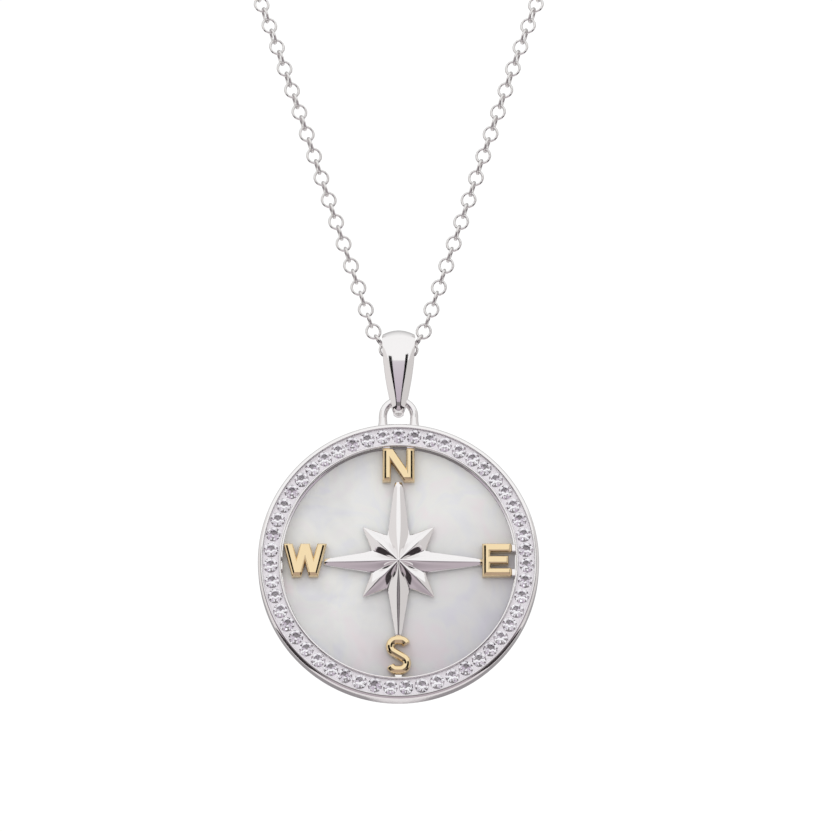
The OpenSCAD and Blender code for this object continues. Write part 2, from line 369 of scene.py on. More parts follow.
def linear(code: str) -> tuple[float, float, float, float]:
    """Returns the linear colour of an sRGB hex value such as "#EEDDCC".

    Args:
        code: The colour, with two digits each for red, green and blue.

    Returns:
        Red, green, blue and alpha, from 0 to 1.
    """
    values = (int(code[i : i + 2], 16) / 255 for i in (1, 3, 5))
    red, green, blue = (v / 12.92 if v <= 0.04045 else ((v + 0.055) / 1.055) ** 2.4 for v in values)
    return red, green, blue, 1.0


def per_size(millimetres: float) -> float:
    """Returns the texture scale that draws a pattern at a real size."""
    return 1 / (millimetres * MM)


def add_node(
    tree: bpy.types.NodeTree, kind: str, inputs: dict[str | int, Any] | None = None, **settings: Any
) -> bpy.types.Node:
    """Adds a node with its settings, its values and its links.

    Args:
        tree: The node tree.
        kind: The node's type.
        inputs: Values or output sockets, by the name or number of the input.
        settings: Values of the node's properties.

    Returns:
        The node.
    """
    node = tree.nodes.new(kind)
    for name, value in settings.items():
        setattr(node, name, value)
    for name, value in (inputs or {}).items():
        if isinstance(value, bpy.types.NodeSocket):
            tree.links.new(value, node.inputs[name])
        else:
            node.inputs[name].default_value = value
    return node


def set_ramp(node: bpy.types.Node, stops: Stops) -> None:
    """Gives a colour ramp its stops, each a position and a hex colour.

    Args:
        node: The ramp's node.
        stops: Its stops, from low to high.
    """
    elements = node.color_ramp.elements
    while len(elements) > 1:
        elements.remove(elements[-1])
    for index, (position, code) in enumerate(stops):
        element = elements[0] if index == 0 else elements.new(position)
        element.position = position
        element.color = linear(code)


def blank_material(name: str) -> tuple[bpy.types.Material, bpy.types.NodeTree]:
    """Returns a new material with only its output node, and its node tree.

    Args:
        name: The material's name.

    Returns:
        The material and the tree.
    """
    material = bpy.data.materials.new(name)
    material.use_nodes = True
    tree = material.node_tree
    tree.nodes.clear()
    tree.nodes.new("ShaderNodeOutputMaterial")
    return material, tree


def output_of(tree: bpy.types.NodeTree, shader: bpy.types.Node) -> None:
    """Links a shader to the tree's output."""
    tree.links.new(shader.outputs[0], tree.nodes[0].inputs[0])


@dataclass(frozen=True)
class PolishedMetal:
    """A plated metal, polished on a felt wheel: mirror bright, with a haze of hairline marks."""

    name: str
    colour: str
    roughness: tuple[float, float]
    # Width of a hairline mark, drawn coarser than a real one to show, and its depth
    mark: float = 0.09
    depth: float = 0.01
    bump: float = 0.02
    # Width of the haze's clouds, in marks
    haze: float = 12.0

    def make(self) -> bpy.types.Material:
        """Returns the material.

        Returns:
            The new material.
        """
        material, tree = blank_material(self.name)
        place = add_node(tree, "ShaderNodeTexCoord").outputs["Object"]
        haze = add_node(
            tree, "ShaderNodeTexNoise",
            {"Vector": place, "Scale": per_size(self.haze * self.mark), "Detail": 3.0},
        )
        span = add_node(
            tree, "ShaderNodeMapRange",
            {"Value": haze.outputs["Fac"], "From Min": NOISE_SPAN[0], "From Max": NOISE_SPAN[1],
             "To Min": self.roughness[0], "To Max": self.roughness[1]},
        )
        marks = add_node(
            tree, "ShaderNodeTexNoise",
            {"Vector": place, "Scale": per_size(self.mark), "Detail": 2.0},
        )
        bump = add_node(
            tree, "ShaderNodeBump",
            {"Height": marks.outputs["Fac"], "Strength": self.bump, "Distance": self.depth * MM},
        )
        shader = add_node(
            tree, "ShaderNodeBsdfPrincipled",
            {"Base Color": linear(self.colour), "Metallic": 1.0,
             "Roughness": span.outputs["Result"], "Normal": bump.outputs["Normal"]},
        )
        output_of(tree, shader)
        return material


@dataclass(frozen=True)
class MotherOfPearl:
    """A slice of polished shell: milky, with soft grey, blue, rose and green clouds."""

    disc: Vector
    disc_r: float
    name: str = "mother_of_pearl"
    # Width of the milky clouds and of the coloured wisps, with their colours
    cloud: float = 7.0
    milk: Stops = ((0.30, "#CECBCD"), (0.42, "#DBD9D8"), (0.52, "#E5E3E1"), (0.68, "#E9E8E5"))
    wisp: float = 4.8
    tints: Stops = (
        (0.30, "#E3D8DC"), (0.42, "#DEDEDF"), (0.5, "#DEE3DE"), (0.6, "#D6DCE1"),
        (0.72, "#D2D4E2"))
    tint_share: float = 0.45
    roughness: float = 0.22
    # Its polish: how strong the clear upper layer is, and how rough
    polish: tuple[float, float] = (0.5, 0.08)
    # It is darker towards its lower right: the direction, from and to in shares of the
    # disc's radius, and how much darker it gets there
    darken_towards: tuple[float, float, float] = (0.6, 0.0, -0.8)
    darken_span: tuple[float, float] = (-0.1, 0.8)
    darken_colour: str = "#DDDBE0"

    def make(self) -> bpy.types.Material:
        """Returns the material.

        Returns:
            The new material.
        """
        material, tree = blank_material(self.name)
        place = add_node(tree, "ShaderNodeTexCoord").outputs["Object"]
        clouds = add_node(
            tree, "ShaderNodeTexNoise",
            {"Vector": place, "Scale": per_size(self.cloud), "Detail": 3.0, "Distortion": 1.1},
        )
        base = add_node(tree, "ShaderNodeValToRGB", {"Fac": clouds.outputs["Fac"]})
        set_ramp(base, self.milk)
        wisps = add_node(
            tree, "ShaderNodeTexNoise",
            {"Vector": place, "Scale": per_size(self.wisp), "Detail": 4.0, "Distortion": 2.0},
        )
        tints = add_node(tree, "ShaderNodeValToRGB", {"Fac": wisps.outputs["Fac"]})
        set_ramp(tints, self.tints)
        colour = add_node(
            tree, "ShaderNodeMix",
            {"Factor": self.tint_share, "A": base.outputs["Color"], "B": tints.outputs["Color"]},
            data_type="RGBA", blend_type="MIX",
        )
        # The colour is multiplied darker towards the disc's lower right
        towards = Vector(self.darken_towards)
        along = add_node(
            tree, "ShaderNodeVectorMath", {0: place, 1: towards}, operation="DOT_PRODUCT"
        )
        start, end = (
            self.disc.dot(towards) + share * self.disc_r * MM for share in self.darken_span
        )
        darkening = add_node(
            tree, "ShaderNodeMapRange",
            {"Value": along.outputs["Value"], "From Min": start, "From Max": end},
        )
        shaded = add_node(
            tree, "ShaderNodeMix",
            {"Factor": darkening.outputs["Result"], "A": colour.outputs["Result"],
             "B": linear(self.darken_colour)},
            data_type="RGBA", blend_type="MULTIPLY",
        )
        shader = add_node(
            tree, "ShaderNodeBsdfPrincipled",
            {"Base Color": shaded.outputs["Result"], "Roughness": self.roughness,
             "Coat Weight": self.polish[0], "Coat Roughness": self.polish[1]},
        )
        output_of(tree, shader)
        return material


@dataclass(frozen=True)
class CutStone:
    """A clear cut crystal of high index: it splits the light into white and dark facets."""

    name: str = "cut_crystal"
    colour: str = "#FBFAFE"
    index: float = 1.77

    def make(self) -> bpy.types.Material:
        """Returns the material.

        Returns:
            The new material.
        """
        material, tree = blank_material(self.name)
        shader = add_node(
            tree, "ShaderNodeBsdfPrincipled",
            {"Base Color": linear(self.colour), "Roughness": 0.0, "IOR": self.index,
             "Transmission Weight": 1.0},
        )
        output_of(tree, shader)
        return material


@dataclass(frozen=True)
class SatinSetting:
    """The unpolished rhodium bed between the stones: a pale, soft lilac grey."""

    name: str = "satin_rhodium"
    colour: str = "#F3F0F4"
    metallic: float = 0.5
    roughness: float = 0.42
    # Width and depth of the grain
    grain: float = 0.06
    depth: float = 0.02
    bump: float = 0.25

    def make(self) -> bpy.types.Material:
        """Returns the material.

        Returns:
            The new material.
        """
        material, tree = blank_material(self.name)
        place = add_node(tree, "ShaderNodeTexCoord").outputs["Object"]
        grain = add_node(
            tree, "ShaderNodeTexNoise",
            {"Vector": place, "Scale": per_size(self.grain), "Detail": 2.0},
        )
        bump = add_node(
            tree, "ShaderNodeBump",
            {"Height": grain.outputs["Fac"], "Strength": self.bump, "Distance": self.depth * MM},
        )
        shader = add_node(
            tree, "ShaderNodeBsdfPrincipled",
            {"Base Color": linear(self.colour), "Metallic": self.metallic,
             "Roughness": self.roughness, "Normal": bump.outputs["Normal"]},
        )
        output_of(tree, shader)
        return material


@dataclass(frozen=True)
class Matte:
    """A matte studio surface of one colour."""

    name: str
    colour: str

    def make(self) -> bpy.types.Material:
        """Returns the material.

        Returns:
            The new material.
        """
        material, tree = blank_material(self.name)
        shader = add_node(
            tree, "ShaderNodeBsdfPrincipled",
            {"Base Color": linear(self.colour), "Roughness": 1.0, "Specular IOR Level": 0.0},
        )
        output_of(tree, shader)
        return material


@dataclass(frozen=True)
class LitCard:
    """A studio card, seen only in mirrors, whose brightness may fall off downwards."""

    name: str
    colours: tuple[str, ...]

    def make(self) -> bpy.types.Material:
        """Returns the material, with the colours evenly spaced from the top down.

        Returns:
            The new material.
        """
        material, tree = blank_material(self.name)
        place = add_node(tree, "ShaderNodeTexCoord").outputs["UV"]
        height = add_node(tree, "ShaderNodeSeparateXYZ", {0: place}).outputs["Y"]
        fall = add_node(tree, "ShaderNodeValToRGB", {"Fac": height})
        last = max(len(self.colours) - 1, 1)
        set_ramp(fall, tuple((k / last, code) for k, code in enumerate(reversed(self.colours))))
        output_of(tree, add_node(tree, "ShaderNodeEmission", {"Color": fall.outputs["Color"]}))
        material.cycles.emission_sampling = "NONE"
        return material


# Rhodium plate over silver: a bright, nearly neutral mirror
SILVER = PolishedMetal("rhodium_plated_silver", "#F3F1F1", (0.05, 0.10))
# The chain's wire is a little greyer than the frame's plate, which makes the thin links read darker
WIRE = PolishedMetal("barrel_polished_silver", "#E8E6E5", (0.05, 0.10), mark=0.05)
# Thin gold plate: pale on its faces and deeper in the corners, where it mirrors itself
GOLD = PolishedMetal("polished_gold_plate", "#F3DCB1", (0.06, 0.10))


# Camera and light


def bearing(azimuth: float, elevation: float) -> Vector:
    """Returns a direction, in degrees to the right of the camera's side and above the horizon.

    Args:
        azimuth: Degrees to the right of the camera's side.
        elevation: Degrees above the horizon.

    Returns:
        The direction, of length 1.
    """
    turn, rise = math.radians(azimuth), math.radians(elevation)
    return Vector(
        (math.sin(turn) * math.cos(rise), -math.cos(turn) * math.cos(rise), math.sin(rise))
    )


def look_along(obj: bpy.types.Object, way: Vector, axis: str) -> None:
    """Turns an object so that one of its axes, such as "-Z", points a way."""
    obj.rotation_mode = "QUATERNION"
    obj.rotation_quaternion = way.to_track_quat(axis, "Y")


@dataclass(frozen=True)
class Lamp:
    """A soft square lamp that looks at the disc: its bearing, distance, side and watts."""

    name: str
    azimuth: float
    elevation: float
    away: float
    size: float
    power: float

    def hang(self, disc: Vector, colour: str) -> None:
        """Hangs the lamp.

        Args:
            disc: The middle of the disc, in millimetres.
            colour: The lamp's hex colour.
        """
        back = bearing(self.azimuth, self.elevation)
        deselect_all()
        bpy.ops.object.light_add(type="AREA", location=(disc + self.away * back) * MM)
        lamp = bpy.context.object
        lamp.name = self.name
        lamp.data.size = self.size * MM
        lamp.data.energy = self.power
        lamp.data.color = linear(colour)[:3]
        look_along(lamp, -back, "-Z")
        lamp.visible_camera = lamp.visible_glossy = False


@dataclass(frozen=True)
class Card:
    """A card that only mirrors and stones see: its bearing and distance seen from the disc."""

    name: str
    # From and to, in degrees to the right of the camera's side, and above the horizon
    azimuth: tuple[float, float]
    elevation: tuple[float, float]
    away: float
    # From the top down
    colours: tuple[str, ...]

    def hang(self, disc: Vector) -> None:
        """Hangs the card round the middle of the disc, in millimetres.

        Args:
            disc: The middle of the disc, in millimetres.
        """
        back = bearing(sum(self.azimuth) / 2, sum(self.elevation) / 2)
        deselect_all()
        bpy.ops.mesh.primitive_plane_add(size=1, location=(disc + self.away * back) * MM)
        card = bpy.context.object
        card.name = self.name
        width, height = (
            2 * self.away * MM * math.tan(math.radians(end - start) / 2)
            for start, end in (self.azimuth, self.elevation)
        )
        card.scale = (width, height, 1)
        look_along(card, back, "Z")
        card.data.materials.append(LitCard(self.name, self.colours).make())
        card.visible_camera = card.visible_diffuse = card.visible_shadow = False


@dataclass(frozen=True)
class Studio:
    """A long lens from a little below, in a pale light tent with a slit for the camera."""

    photo_px: int = 832
    px_per_mm: float = 10.81
    middle_px: tuple[float, float] = (398.5, 563.6)
    elevation: float = -12.0
    distance: float = 900.0
    sensor: float = 36.0
    clip: tuple[float, float] = (50.0, 50000.0)
    floor_drop: float = 1000.0
    floor_size: float = 9000.0
    floor_colour: str = "#DEDBDC"
    # The tent's colours from straight below to straight above
    tent: Stops = (
        (0.0, "#938D92"), (0.25, "#B7AFB5"), (0.456, "#CDC7CB"), (0.552, "#DEDADC"),
        (0.604, "#EEECED"), (0.67, "#FCFBFB"), (0.75, "#FFFFFF"))
    # It is dim behind the object, which draws the outlines of the polished metal: how dim, and
    # between which directions, from 1 straight behind to -1 at the camera's side
    rear_light: float = 0.5
    rear_span: tuple[float, float] = (-0.2, 0.8)
    # What is not polished gets an even fill from all round: its colour and strength
    fill: tuple[str, float] = ("#FDFCFC", 1.17)
    # What the camera sees behind the object
    ground: tuple[str, float] = ("#FFFFFF", 1.05)
    lamp_colour: str = "#F0F6FF"
    lamps: tuple[Lamp, ...] = (
        Lamp("soft_box", -10, 62, 900, 500, 0.25), Lamp("key_lamp", -28, 48, 900, 220, 0.6))
    cards: tuple[Card, ...] = (
        Card("front_panel", (-45, 45), (8, 50), 760, ("#FFFFFF",)),
        Card("slit_panel", (-27, 27), (-2.5, 8), 720, ("#DFDBE0", "#D3CBD4", "#C9BECA", "#C2B5C2")),
        Card("under_slit", (-27, 27), (-22, -2.5), 715, ("#837E80",)),
        Card("left_edge", (-39, -27), (-32, 14), 700, ("#141214",)),
        Card("right_edge", (27, 37), (-32, 17), 700, ("#141214",)),
        Card("left_side", (-112, -38), (-16, 30), 900, ("#E7E4E3",)),
        Card("right_side", (36, 112), (-16, 30), 900, ("#D9D6D5",)),
        Card("low_panel", (-55, 55), (-50, -12), 800, ("#C0B5BC",)),
        Card("lower_panel", (-60, 60), (-88, -48), 850, ("#BBB0B7", "#8A8287")),
        Card("left_flag", (-120, -42), (-46, -20), 650, ("#3A3537",)),
        Card("right_flag", (42, 120), (-46, -20), 650, ("#3A3537",)))

    def aim(self, disc: Vector) -> tuple[Vector, Vector]:
        """Returns the point that the lens looks at and the direction from there to it.

        Args:
            disc: The middle of the disc, in millimetres.

        Returns:
            The point and the direction.
        """
        tilt = math.radians(self.elevation)
        back = Vector((0, -math.cos(tilt), math.sin(tilt)))
        up = Vector((0, math.sin(tilt), math.cos(tilt)))
        right = (self.photo_px / 2 - self.middle_px[0]) / self.px_per_mm
        above = (self.middle_px[1] - self.photo_px / 2) / self.px_per_mm
        return disc + Vector((right, 0, 0)) + above * up, back

    def camera(self, disc: Vector) -> None:
        """Adds the camera for the middle of the disc, in millimetres.

        Args:
            disc: The middle of the disc, in millimetres.
        """
        target, back = self.aim(disc)
        deselect_all()
        bpy.ops.object.camera_add(location=(target + self.distance * back) * MM)
        lens = bpy.context.object
        look_along(lens, -back, "-Z")
        half_width = self.photo_px / 2 / self.px_per_mm
        lens.data.sensor_width = self.sensor
        lens.data.lens = self.sensor / 2 * self.distance / half_width
        lens.data.clip_start, lens.data.clip_end = (reach * MM for reach in self.clip)
        bpy.context.scene.camera = lens

    def world(self) -> None:
        """Makes the tent: white above, lilac grey below, pure white behind the object."""
        world = bpy.data.worlds.new("light_tent")
        bpy.context.scene.world = world
        world.use_nodes = True
        tree = world.node_tree
        tree.nodes.clear()
        output = tree.nodes.new("ShaderNodeOutputWorld")
        direction = add_node(tree, "ShaderNodeTexCoord").outputs["Generated"]
        place = add_node(tree, "ShaderNodeSeparateXYZ", {0: direction})
        height = add_node(
            tree, "ShaderNodeMapRange",
            {"Value": place.outputs["Z"], "From Min": -1.0, "From Max": 1.0},
        )
        tent = add_node(tree, "ShaderNodeValToRGB", {"Fac": height.outputs["Result"]})
        set_ramp(tent, self.tent)
        depth = add_node(
            tree, "ShaderNodeMapRange",
            {"Value": place.outputs["Y"], "From Min": self.rear_span[0],
             "From Max": self.rear_span[1], "To Min": 1.0, "To Max": self.rear_light},
        )
        glow = add_node(
            tree, "ShaderNodeBackground",
            {"Color": tent.outputs["Color"], "Strength": depth.outputs["Result"]},
        )
        fill, ground = (
            add_node(tree, "ShaderNodeBackground", {"Color": linear(code), "Strength": strength})
            for code, strength in (self.fill, self.ground)
        )
        path = add_node(tree, "ShaderNodeLightPath").outputs
        filled = add_node(
            tree, "ShaderNodeMixShader",
            {0: path["Is Diffuse Ray"], 1: glow.outputs[0], 2: fill.outputs[0]},
        )
        mixed = add_node(
            tree, "ShaderNodeMixShader",
            {0: path["Is Camera Ray"], 1: filled.outputs[0], 2: ground.outputs[0]},
        )
        tree.links.new(mixed.outputs[0], output.inputs[0])

    def build(self, disc: Vector) -> None:
        """Sets up the camera, the tent, the lamps, the cards and the floor.

        Args:
            disc: The middle of the disc, in millimetres.
        """
        self.camera(disc)
        self.world()
        for lamp in self.lamps:
            lamp.hang(disc, self.lamp_colour)
        for card in self.cards:
            card.hang(disc)
        deselect_all()
        bpy.ops.mesh.primitive_plane_add(
            size=self.floor_size * MM, location=(0, 0, -self.floor_drop * MM)
        )
        floor = bpy.context.object
        floor.name = "floor"
        floor.data.materials.append(Matte("pale_floor", self.floor_colour).make())
        bpy.context.scene.view_settings.view_transform = "Standard"


# The chain


@dataclass
class LinkChain:
    """Round links of drawn wire, each through the next, from the clasp round through the bail."""

    link_d: float = 1.61
    link_w: float = 1.5
    wire_d: float = 0.25
    link_steps: int = 14
    wire_steps: int = 6
    pitch: float = 1.105
    neck_w: float = 101.0
    neck_reach: float = 100.0
    neck_drop: float = 166.0
    strand_lean: float = 18.5
    strand_foot: float = 2.11
    # How much closer to the bail the links run than a round tube of their width can
    tuck: float = 0.3
    # The first link on each side of the clasp hangs in the clasp's eye
    first_link: tuple[float, float, float] = (5.14, 1.3, 0.0)
    # One side from the clasp down, in shares of half the width, of the reach and of the drop
    neck_route: tuple[tuple[float, float, float], ...] = (
        (0.36, 0.025, 0.006), (0.68, 0.12, 0.022), (0.91, 0.28, 0.052),
        (1.00, 0.455, 0.105), (0.96, 0.60, 0.185), (0.855, 0.725, 0.283),
        (0.73, 0.825, 0.39), (0.575, 0.91, 0.525), (0.41, 0.968, 0.675))
    strand_heights: tuple[float, ...] = (32.0, 12.0)
    # Links in the bail and beside it: distance from the middle, and height over the bail's axis
    bail_links: tuple[tuple[float, float], ...] = (
        (0.0, -0.5), (1.07, -0.24), (1.79, 0.60), (2.34, 1.55))

    def one_link(self) -> bpy.types.Object:
        """Returns one link, lying flat, a touch longer than it is wide as a pulled link is.

        Returns:
            The link, in millimetres.
        """
        deselect_all()
        bpy.ops.mesh.primitive_torus_add(
            major_segments=self.link_steps, minor_segments=self.wire_steps,
            major_radius=(self.link_d - self.wire_d) / 2, minor_radius=self.wire_d / 2,
        )
        link = bpy.context.object
        with editing(link, Part.VERTS):
            bpy.ops.mesh.select_all(action="SELECT")
            bpy.ops.transform.resize(value=(1.0, self.link_w / self.link_d, 1.0))
        pick(link)
        bpy.ops.object.shade_smooth()
        return link

    def strand(self, height: float) -> Vector:
        """Returns the point of the right strand at a height over the bail's axis."""
        out = self.strand_foot + height * math.tan(math.radians(self.strand_lean)) - self.tuck
        return Vector((out, -self.neck_reach, height - self.neck_drop))

    def bail_point(self, index: int) -> Vector:
        """Returns the middle of one of the links at the bail, on the right side."""
        out, height = self.bail_links[index]
        return Vector((out, -self.neck_reach, height - self.neck_drop))

    def side_path(self, steps: int = 24) -> list[Vector]:
        """Returns a fine line through the middles of the links, from the bail to the clasp.

        Args:
            steps: Points from one knot of the route to the next.

        Returns:
            The points of the line.
        """
        shares = [
            Vector((s * self.neck_w / 2, -r * self.neck_reach, -d * self.neck_drop))
            for s, r, d in self.neck_route
        ]
        first = Vector(self.first_link)
        knots = [
            first - Vector((self.neck_w / 7, 0, 0)), first, *shares,
            *(self.strand(h) for h in self.strand_heights),
            self.bail_point(-1), self.bail_point(-2),
        ][::-1]
        path = []
        for a, b, c, d in zip(knots, knots[1:], knots[2:], knots[3:]):
            for k in range(steps):
                t = k / steps
                path.append(
                    0.5 * (2 * b + (c - a) * t + (2 * a - 5 * b + 4 * c - d) * t**2
                           + (3 * b - a - 3 * c + d) * t**3)
                )
        return [*path, first]

    def side_links(self) -> list[Vector]:
        """Returns the middles of the links of the right side, evenly spaced, bail first.

        Returns:
            The middles.
        """
        path = self.side_path()
        lengths = [0.0]
        for a, b in zip(path, path[1:]):
            lengths.append(lengths[-1] + (b - a).length)
        count = round(lengths[-1] / self.pitch)
        count += 1 - count % 2
        middles, at = [], 0
        for k in range(1, count + 1):
            goal = lengths[-1] * k / count
            while lengths[at + 1] < goal and at < len(path) - 2:
                at += 1
            share = (goal - lengths[at]) / (lengths[at + 1] - lengths[at])
            middles.append(path[at].lerp(path[at + 1], share))
        return middles

    def places(self) -> list[Matrix]:
        """Returns where every link goes: along the route, each turned a quarter on the last.

        Returns:
            One placement for each link.
        """
        right = [self.bail_point(k) for k in range(len(self.bail_links))] + self.side_links()
        ends = [right[-1] + Vector((-1, 0, 0))]
        points = [*right, *ends]
        normals: list[Vector] = []
        tangents: list[Vector] = []
        for k in range(len(right)):
            before = points[k - 1] if k else Vector((-right[1].x, right[1].y, right[1].z))
            tangents.append((points[k + 1] - before).normalized())
            normal = normals[-1] if normals else Vector((0, -1, 0))
            normals.append((normal - normal.dot(tangents[k]) * tangents[k]).normalized())
        # The flat link in the clasp's eye lies level, so the rest of the twist is shared out
        across = tangents[-1].cross(normals[-1])
        spare = math.atan2(across.cross(Vector((0, 0, 1))).dot(tangents[-1]), across.z)
        spare = (spare + math.pi / 2) % math.pi - math.pi / 2
        made = []
        for k, (middle, tangent, normal) in enumerate(zip(right, tangents, normals)):
            turn = Matrix.Rotation(spare * k / (len(right) - 1), 3, tangent)
            face = turn @ normal
            axis = face if k % 2 else tangent.cross(face)
            side = axis.cross(tangent)
            for flip in (1, -1) if k else (1,):
                columns = [Vector((flip * v.x, v.y, v.z)) for v in (tangent, side, axis)]
                columns[1] = flip * columns[1]
                spin = turned_to(*columns)
                made.append(Matrix.Translation((flip * middle.x, middle.y, middle.z)) @ spin)
        return made

    def build(self, finish: bpy.types.Material) -> None:
        """Makes the chain, which stands for the tube of the frame.

        Args:
            finish: Its material.
        """
        chain = copies(self.one_link(), self.places(), "chain_links")
        set_down(chain, Matrix.Scale(MM, 4))
        hand_over(chain, Body.NECKLACE, [finish], ["chain"])


# The bail


def round_x(turn: float) -> Vector:
    """Returns the direction at an angle round the X axis: 0 is the front, a quarter is up."""
    return Vector((0, -math.cos(turn), math.sin(turn)))


@dataclass
class FoldedBail:
    """A tapered strip with a domed face, folded over the chain and closed at its tip."""

    height: float = 8.28
    top_w: float = 3.16
    top_r: float = 1.64
    hollow_r: float = 1.04
    low_r: float = 1.24
    eye_r: float = 0.695
    foot: float = 0.82
    slot_share: float = 0.96
    # How far below the bail's axis the roll stands out the most: it is longer than round
    droop: float = 1.1
    # The strip's section: height of its dome, and the most that it takes of the wall or width
    dome: float = 0.4
    dome_share: float = 0.67
    dome_width: float = 0.5
    arch: float = 0.45
    # How the width falls off below the shoulder, per share of the height and of its square
    taper: tuple[float, float] = (0.12, 0.63)
    tip_w: float = 0.94
    # How far down the width falls off above the shoulder, and by how much at the top
    crown: tuple[float, float] = (0.7, 0.07)
    # Lean of the front under the roll and above the tip, in degrees: it is slightly full
    lean: tuple[float, float] = (3.5, 7.0)
    # The wall is looked for inwards: from, to and step, and what it is where none is found
    search: tuple[float, float, float] = (0.05, 2.5, 0.01)
    least_wall: float = 0.2
    section_steps: int = 28
    top_steps: int = 22
    side_steps: int = 14
    low_steps: int = 16

    @property
    def tip(self) -> float:
        """Height of the tip over the bail's axis."""
        return self.top_r - self.height

    def station(self, point: Vector, out: Vector) -> tuple[Any, ...]:
        """Returns a point of the outline with all that its section needs.

        Args:
            point: A point of the outer side, seen from the side.
            out: The direction outwards.

        Returns:
            The point, the direction, the wall and half the width.
        """
        return point, out, self.wall(point, out), self.half_width(point.z)

    def half_width(self, height: float) -> float:
        """Returns half the strip's width at a height over the bail's axis.

        Args:
            height: The height over the bail's axis.

        Returns:
            Half the width.
        """
        shoulder = self.top_r - self.arch
        share = min(max((shoulder - height) / (shoulder - self.tip), 0), 1)
        slope, bend = self.taper
        from_z, loss = self.crown
        above = max(height - from_z, 0) / (self.top_r - from_z)
        half = self.top_w / 2 * (1 - slope * share - bend * share**2 - loss * above**2)
        return max(half, self.tip_w / 2)

    def roll(self, turn: float) -> Vector:
        """Returns the point of the roll's long round where it faces in a direction, in radians.

        Args:
            turn: The direction: 0 is the front, and a quarter turn is up.

        Returns:
            The point, seen from the side.
        """
        tall = self.top_r + self.droop
        along = math.atan2(tall * math.sin(turn), self.top_r * math.cos(turn))
        return Vector((0, -self.top_r * math.cos(along), tall * math.sin(along) - self.droop))

    def outline(self) -> list[tuple[Any, ...]]:
        """Returns the stations along the strip: over the top, down the back, round, and up.

        Returns:
            The stations, in order.
        """
        upper, lower = (math.radians(a) for a in self.lean)
        low_z = self.tip + self.low_r
        made = []
        for k in range(self.top_steps + 1):
            turn = -upper + (math.pi + 2 * upper) * k / self.top_steps
            made.append(self.station(self.roll(turn), round_x(turn)))
        made += self.side(math.pi + upper, math.pi + lower, low_z)
        for k in range(self.low_steps + 1):
            out = round_x(math.pi + lower + (math.pi - 2 * lower) * k / self.low_steps)
            made.append(self.station(Vector((0, 0, low_z)) + self.low_r * out, out))
        return made + self.side(-upper, -lower, low_z)[::-1]

    def side(self, top_turn: float, low_turn: float, low_z: float) -> list[tuple[Any, ...]]:
        """Returns the stations of a slightly full side, from the top down.

        Args:
            top_turn: Direction of the side where it leaves the roll, in radians.
            low_turn: Its direction where it meets the tip's round.
            low_z: Height of the middle of that round.

        Returns:
            The stations, without those at the two ends.
        """
        start = self.roll(top_turn)
        end = Vector((0, 0, low_z)) + self.low_r * round_x(low_turn)
        length = (end - start).length
        made = []
        for k in range(1, self.side_steps):
            t = k / self.side_steps
            out = round_x(top_turn + (low_turn - top_turn) * t)
            full = length * (low_turn - top_turn) / 2 * t * (1 - t)
            line = (end - start).normalized()
            proud = out - out.dot(line) * line
            made.append(self.station(start.lerp(end, t) + abs(full) * proud.normalized(), out))
        return made

    def wall(self, point: Vector, out: Vector) -> float:
        """Returns the thickness of the metal between the outer point and the hollow.

        Args:
            point: A point of the outer side, seen from the side.
            out: The direction outwards.

        Returns:
            The thickness along that direction.
        """
        eye_z = self.tip + self.foot + self.eye_r
        reach, last, step = self.search
        while reach < last:
            inner = point - reach * out
            share = min(max(inner.z / eye_z, 0), 1)
            middle = Vector((0, 0, share * eye_z))
            radius = self.hollow_r + (self.eye_r - self.hollow_r) * share
            if 0 < share < 1:
                radius *= self.slot_share
            if (inner - middle).length <= radius:
                return reach
            reach += step
        return self.least_wall

    def unit_section(self) -> bpy.types.Object:
        """Returns the cross-section at unit size: evenly curved outside, oval inside.

        Returns:
            The cross-section, a flat ring of edges.
        """
        deselect_all()
        bpy.ops.mesh.primitive_circle_add(vertices=self.section_steps, radius=1)
        unit = bpy.context.object
        outer = [v for v in unit.data.vertices if v.co.y > NEAR]
        goals = {v.index: Vector((v.co.x, v.co.y**2, 0)) for v in outer}
        with editing(unit, Part.VERTS):
            move_points(unit, goals)
        return unit

    def section(self, unit: bpy.types.Object, half: float, wall: float,
                dome: float) -> bpy.types.Object:
        """Returns a copy of the cross-section, drawn out to a station's size.

        Args:
            unit: The cross-section at unit size.
            half: Half the strip's width.
            wall: Its thickness.
            dome: The part of the thickness on the outer side.

        Returns:
            The copy.
        """
        strip = own_copy(unit)
        with editing(strip, Part.VERTS):
            bpy.ops.mesh.select_all(action="SELECT")
            bpy.ops.transform.resize(value=(half, dome, 1), center_override=(0, 0, 0))
            choose(strip, Part.VERTS, lambda v: v.co.y < -NEAR)
            bpy.ops.transform.resize(value=(1, (wall - dome) / dome, 1), center_override=(0, 0, 0))
        return strip

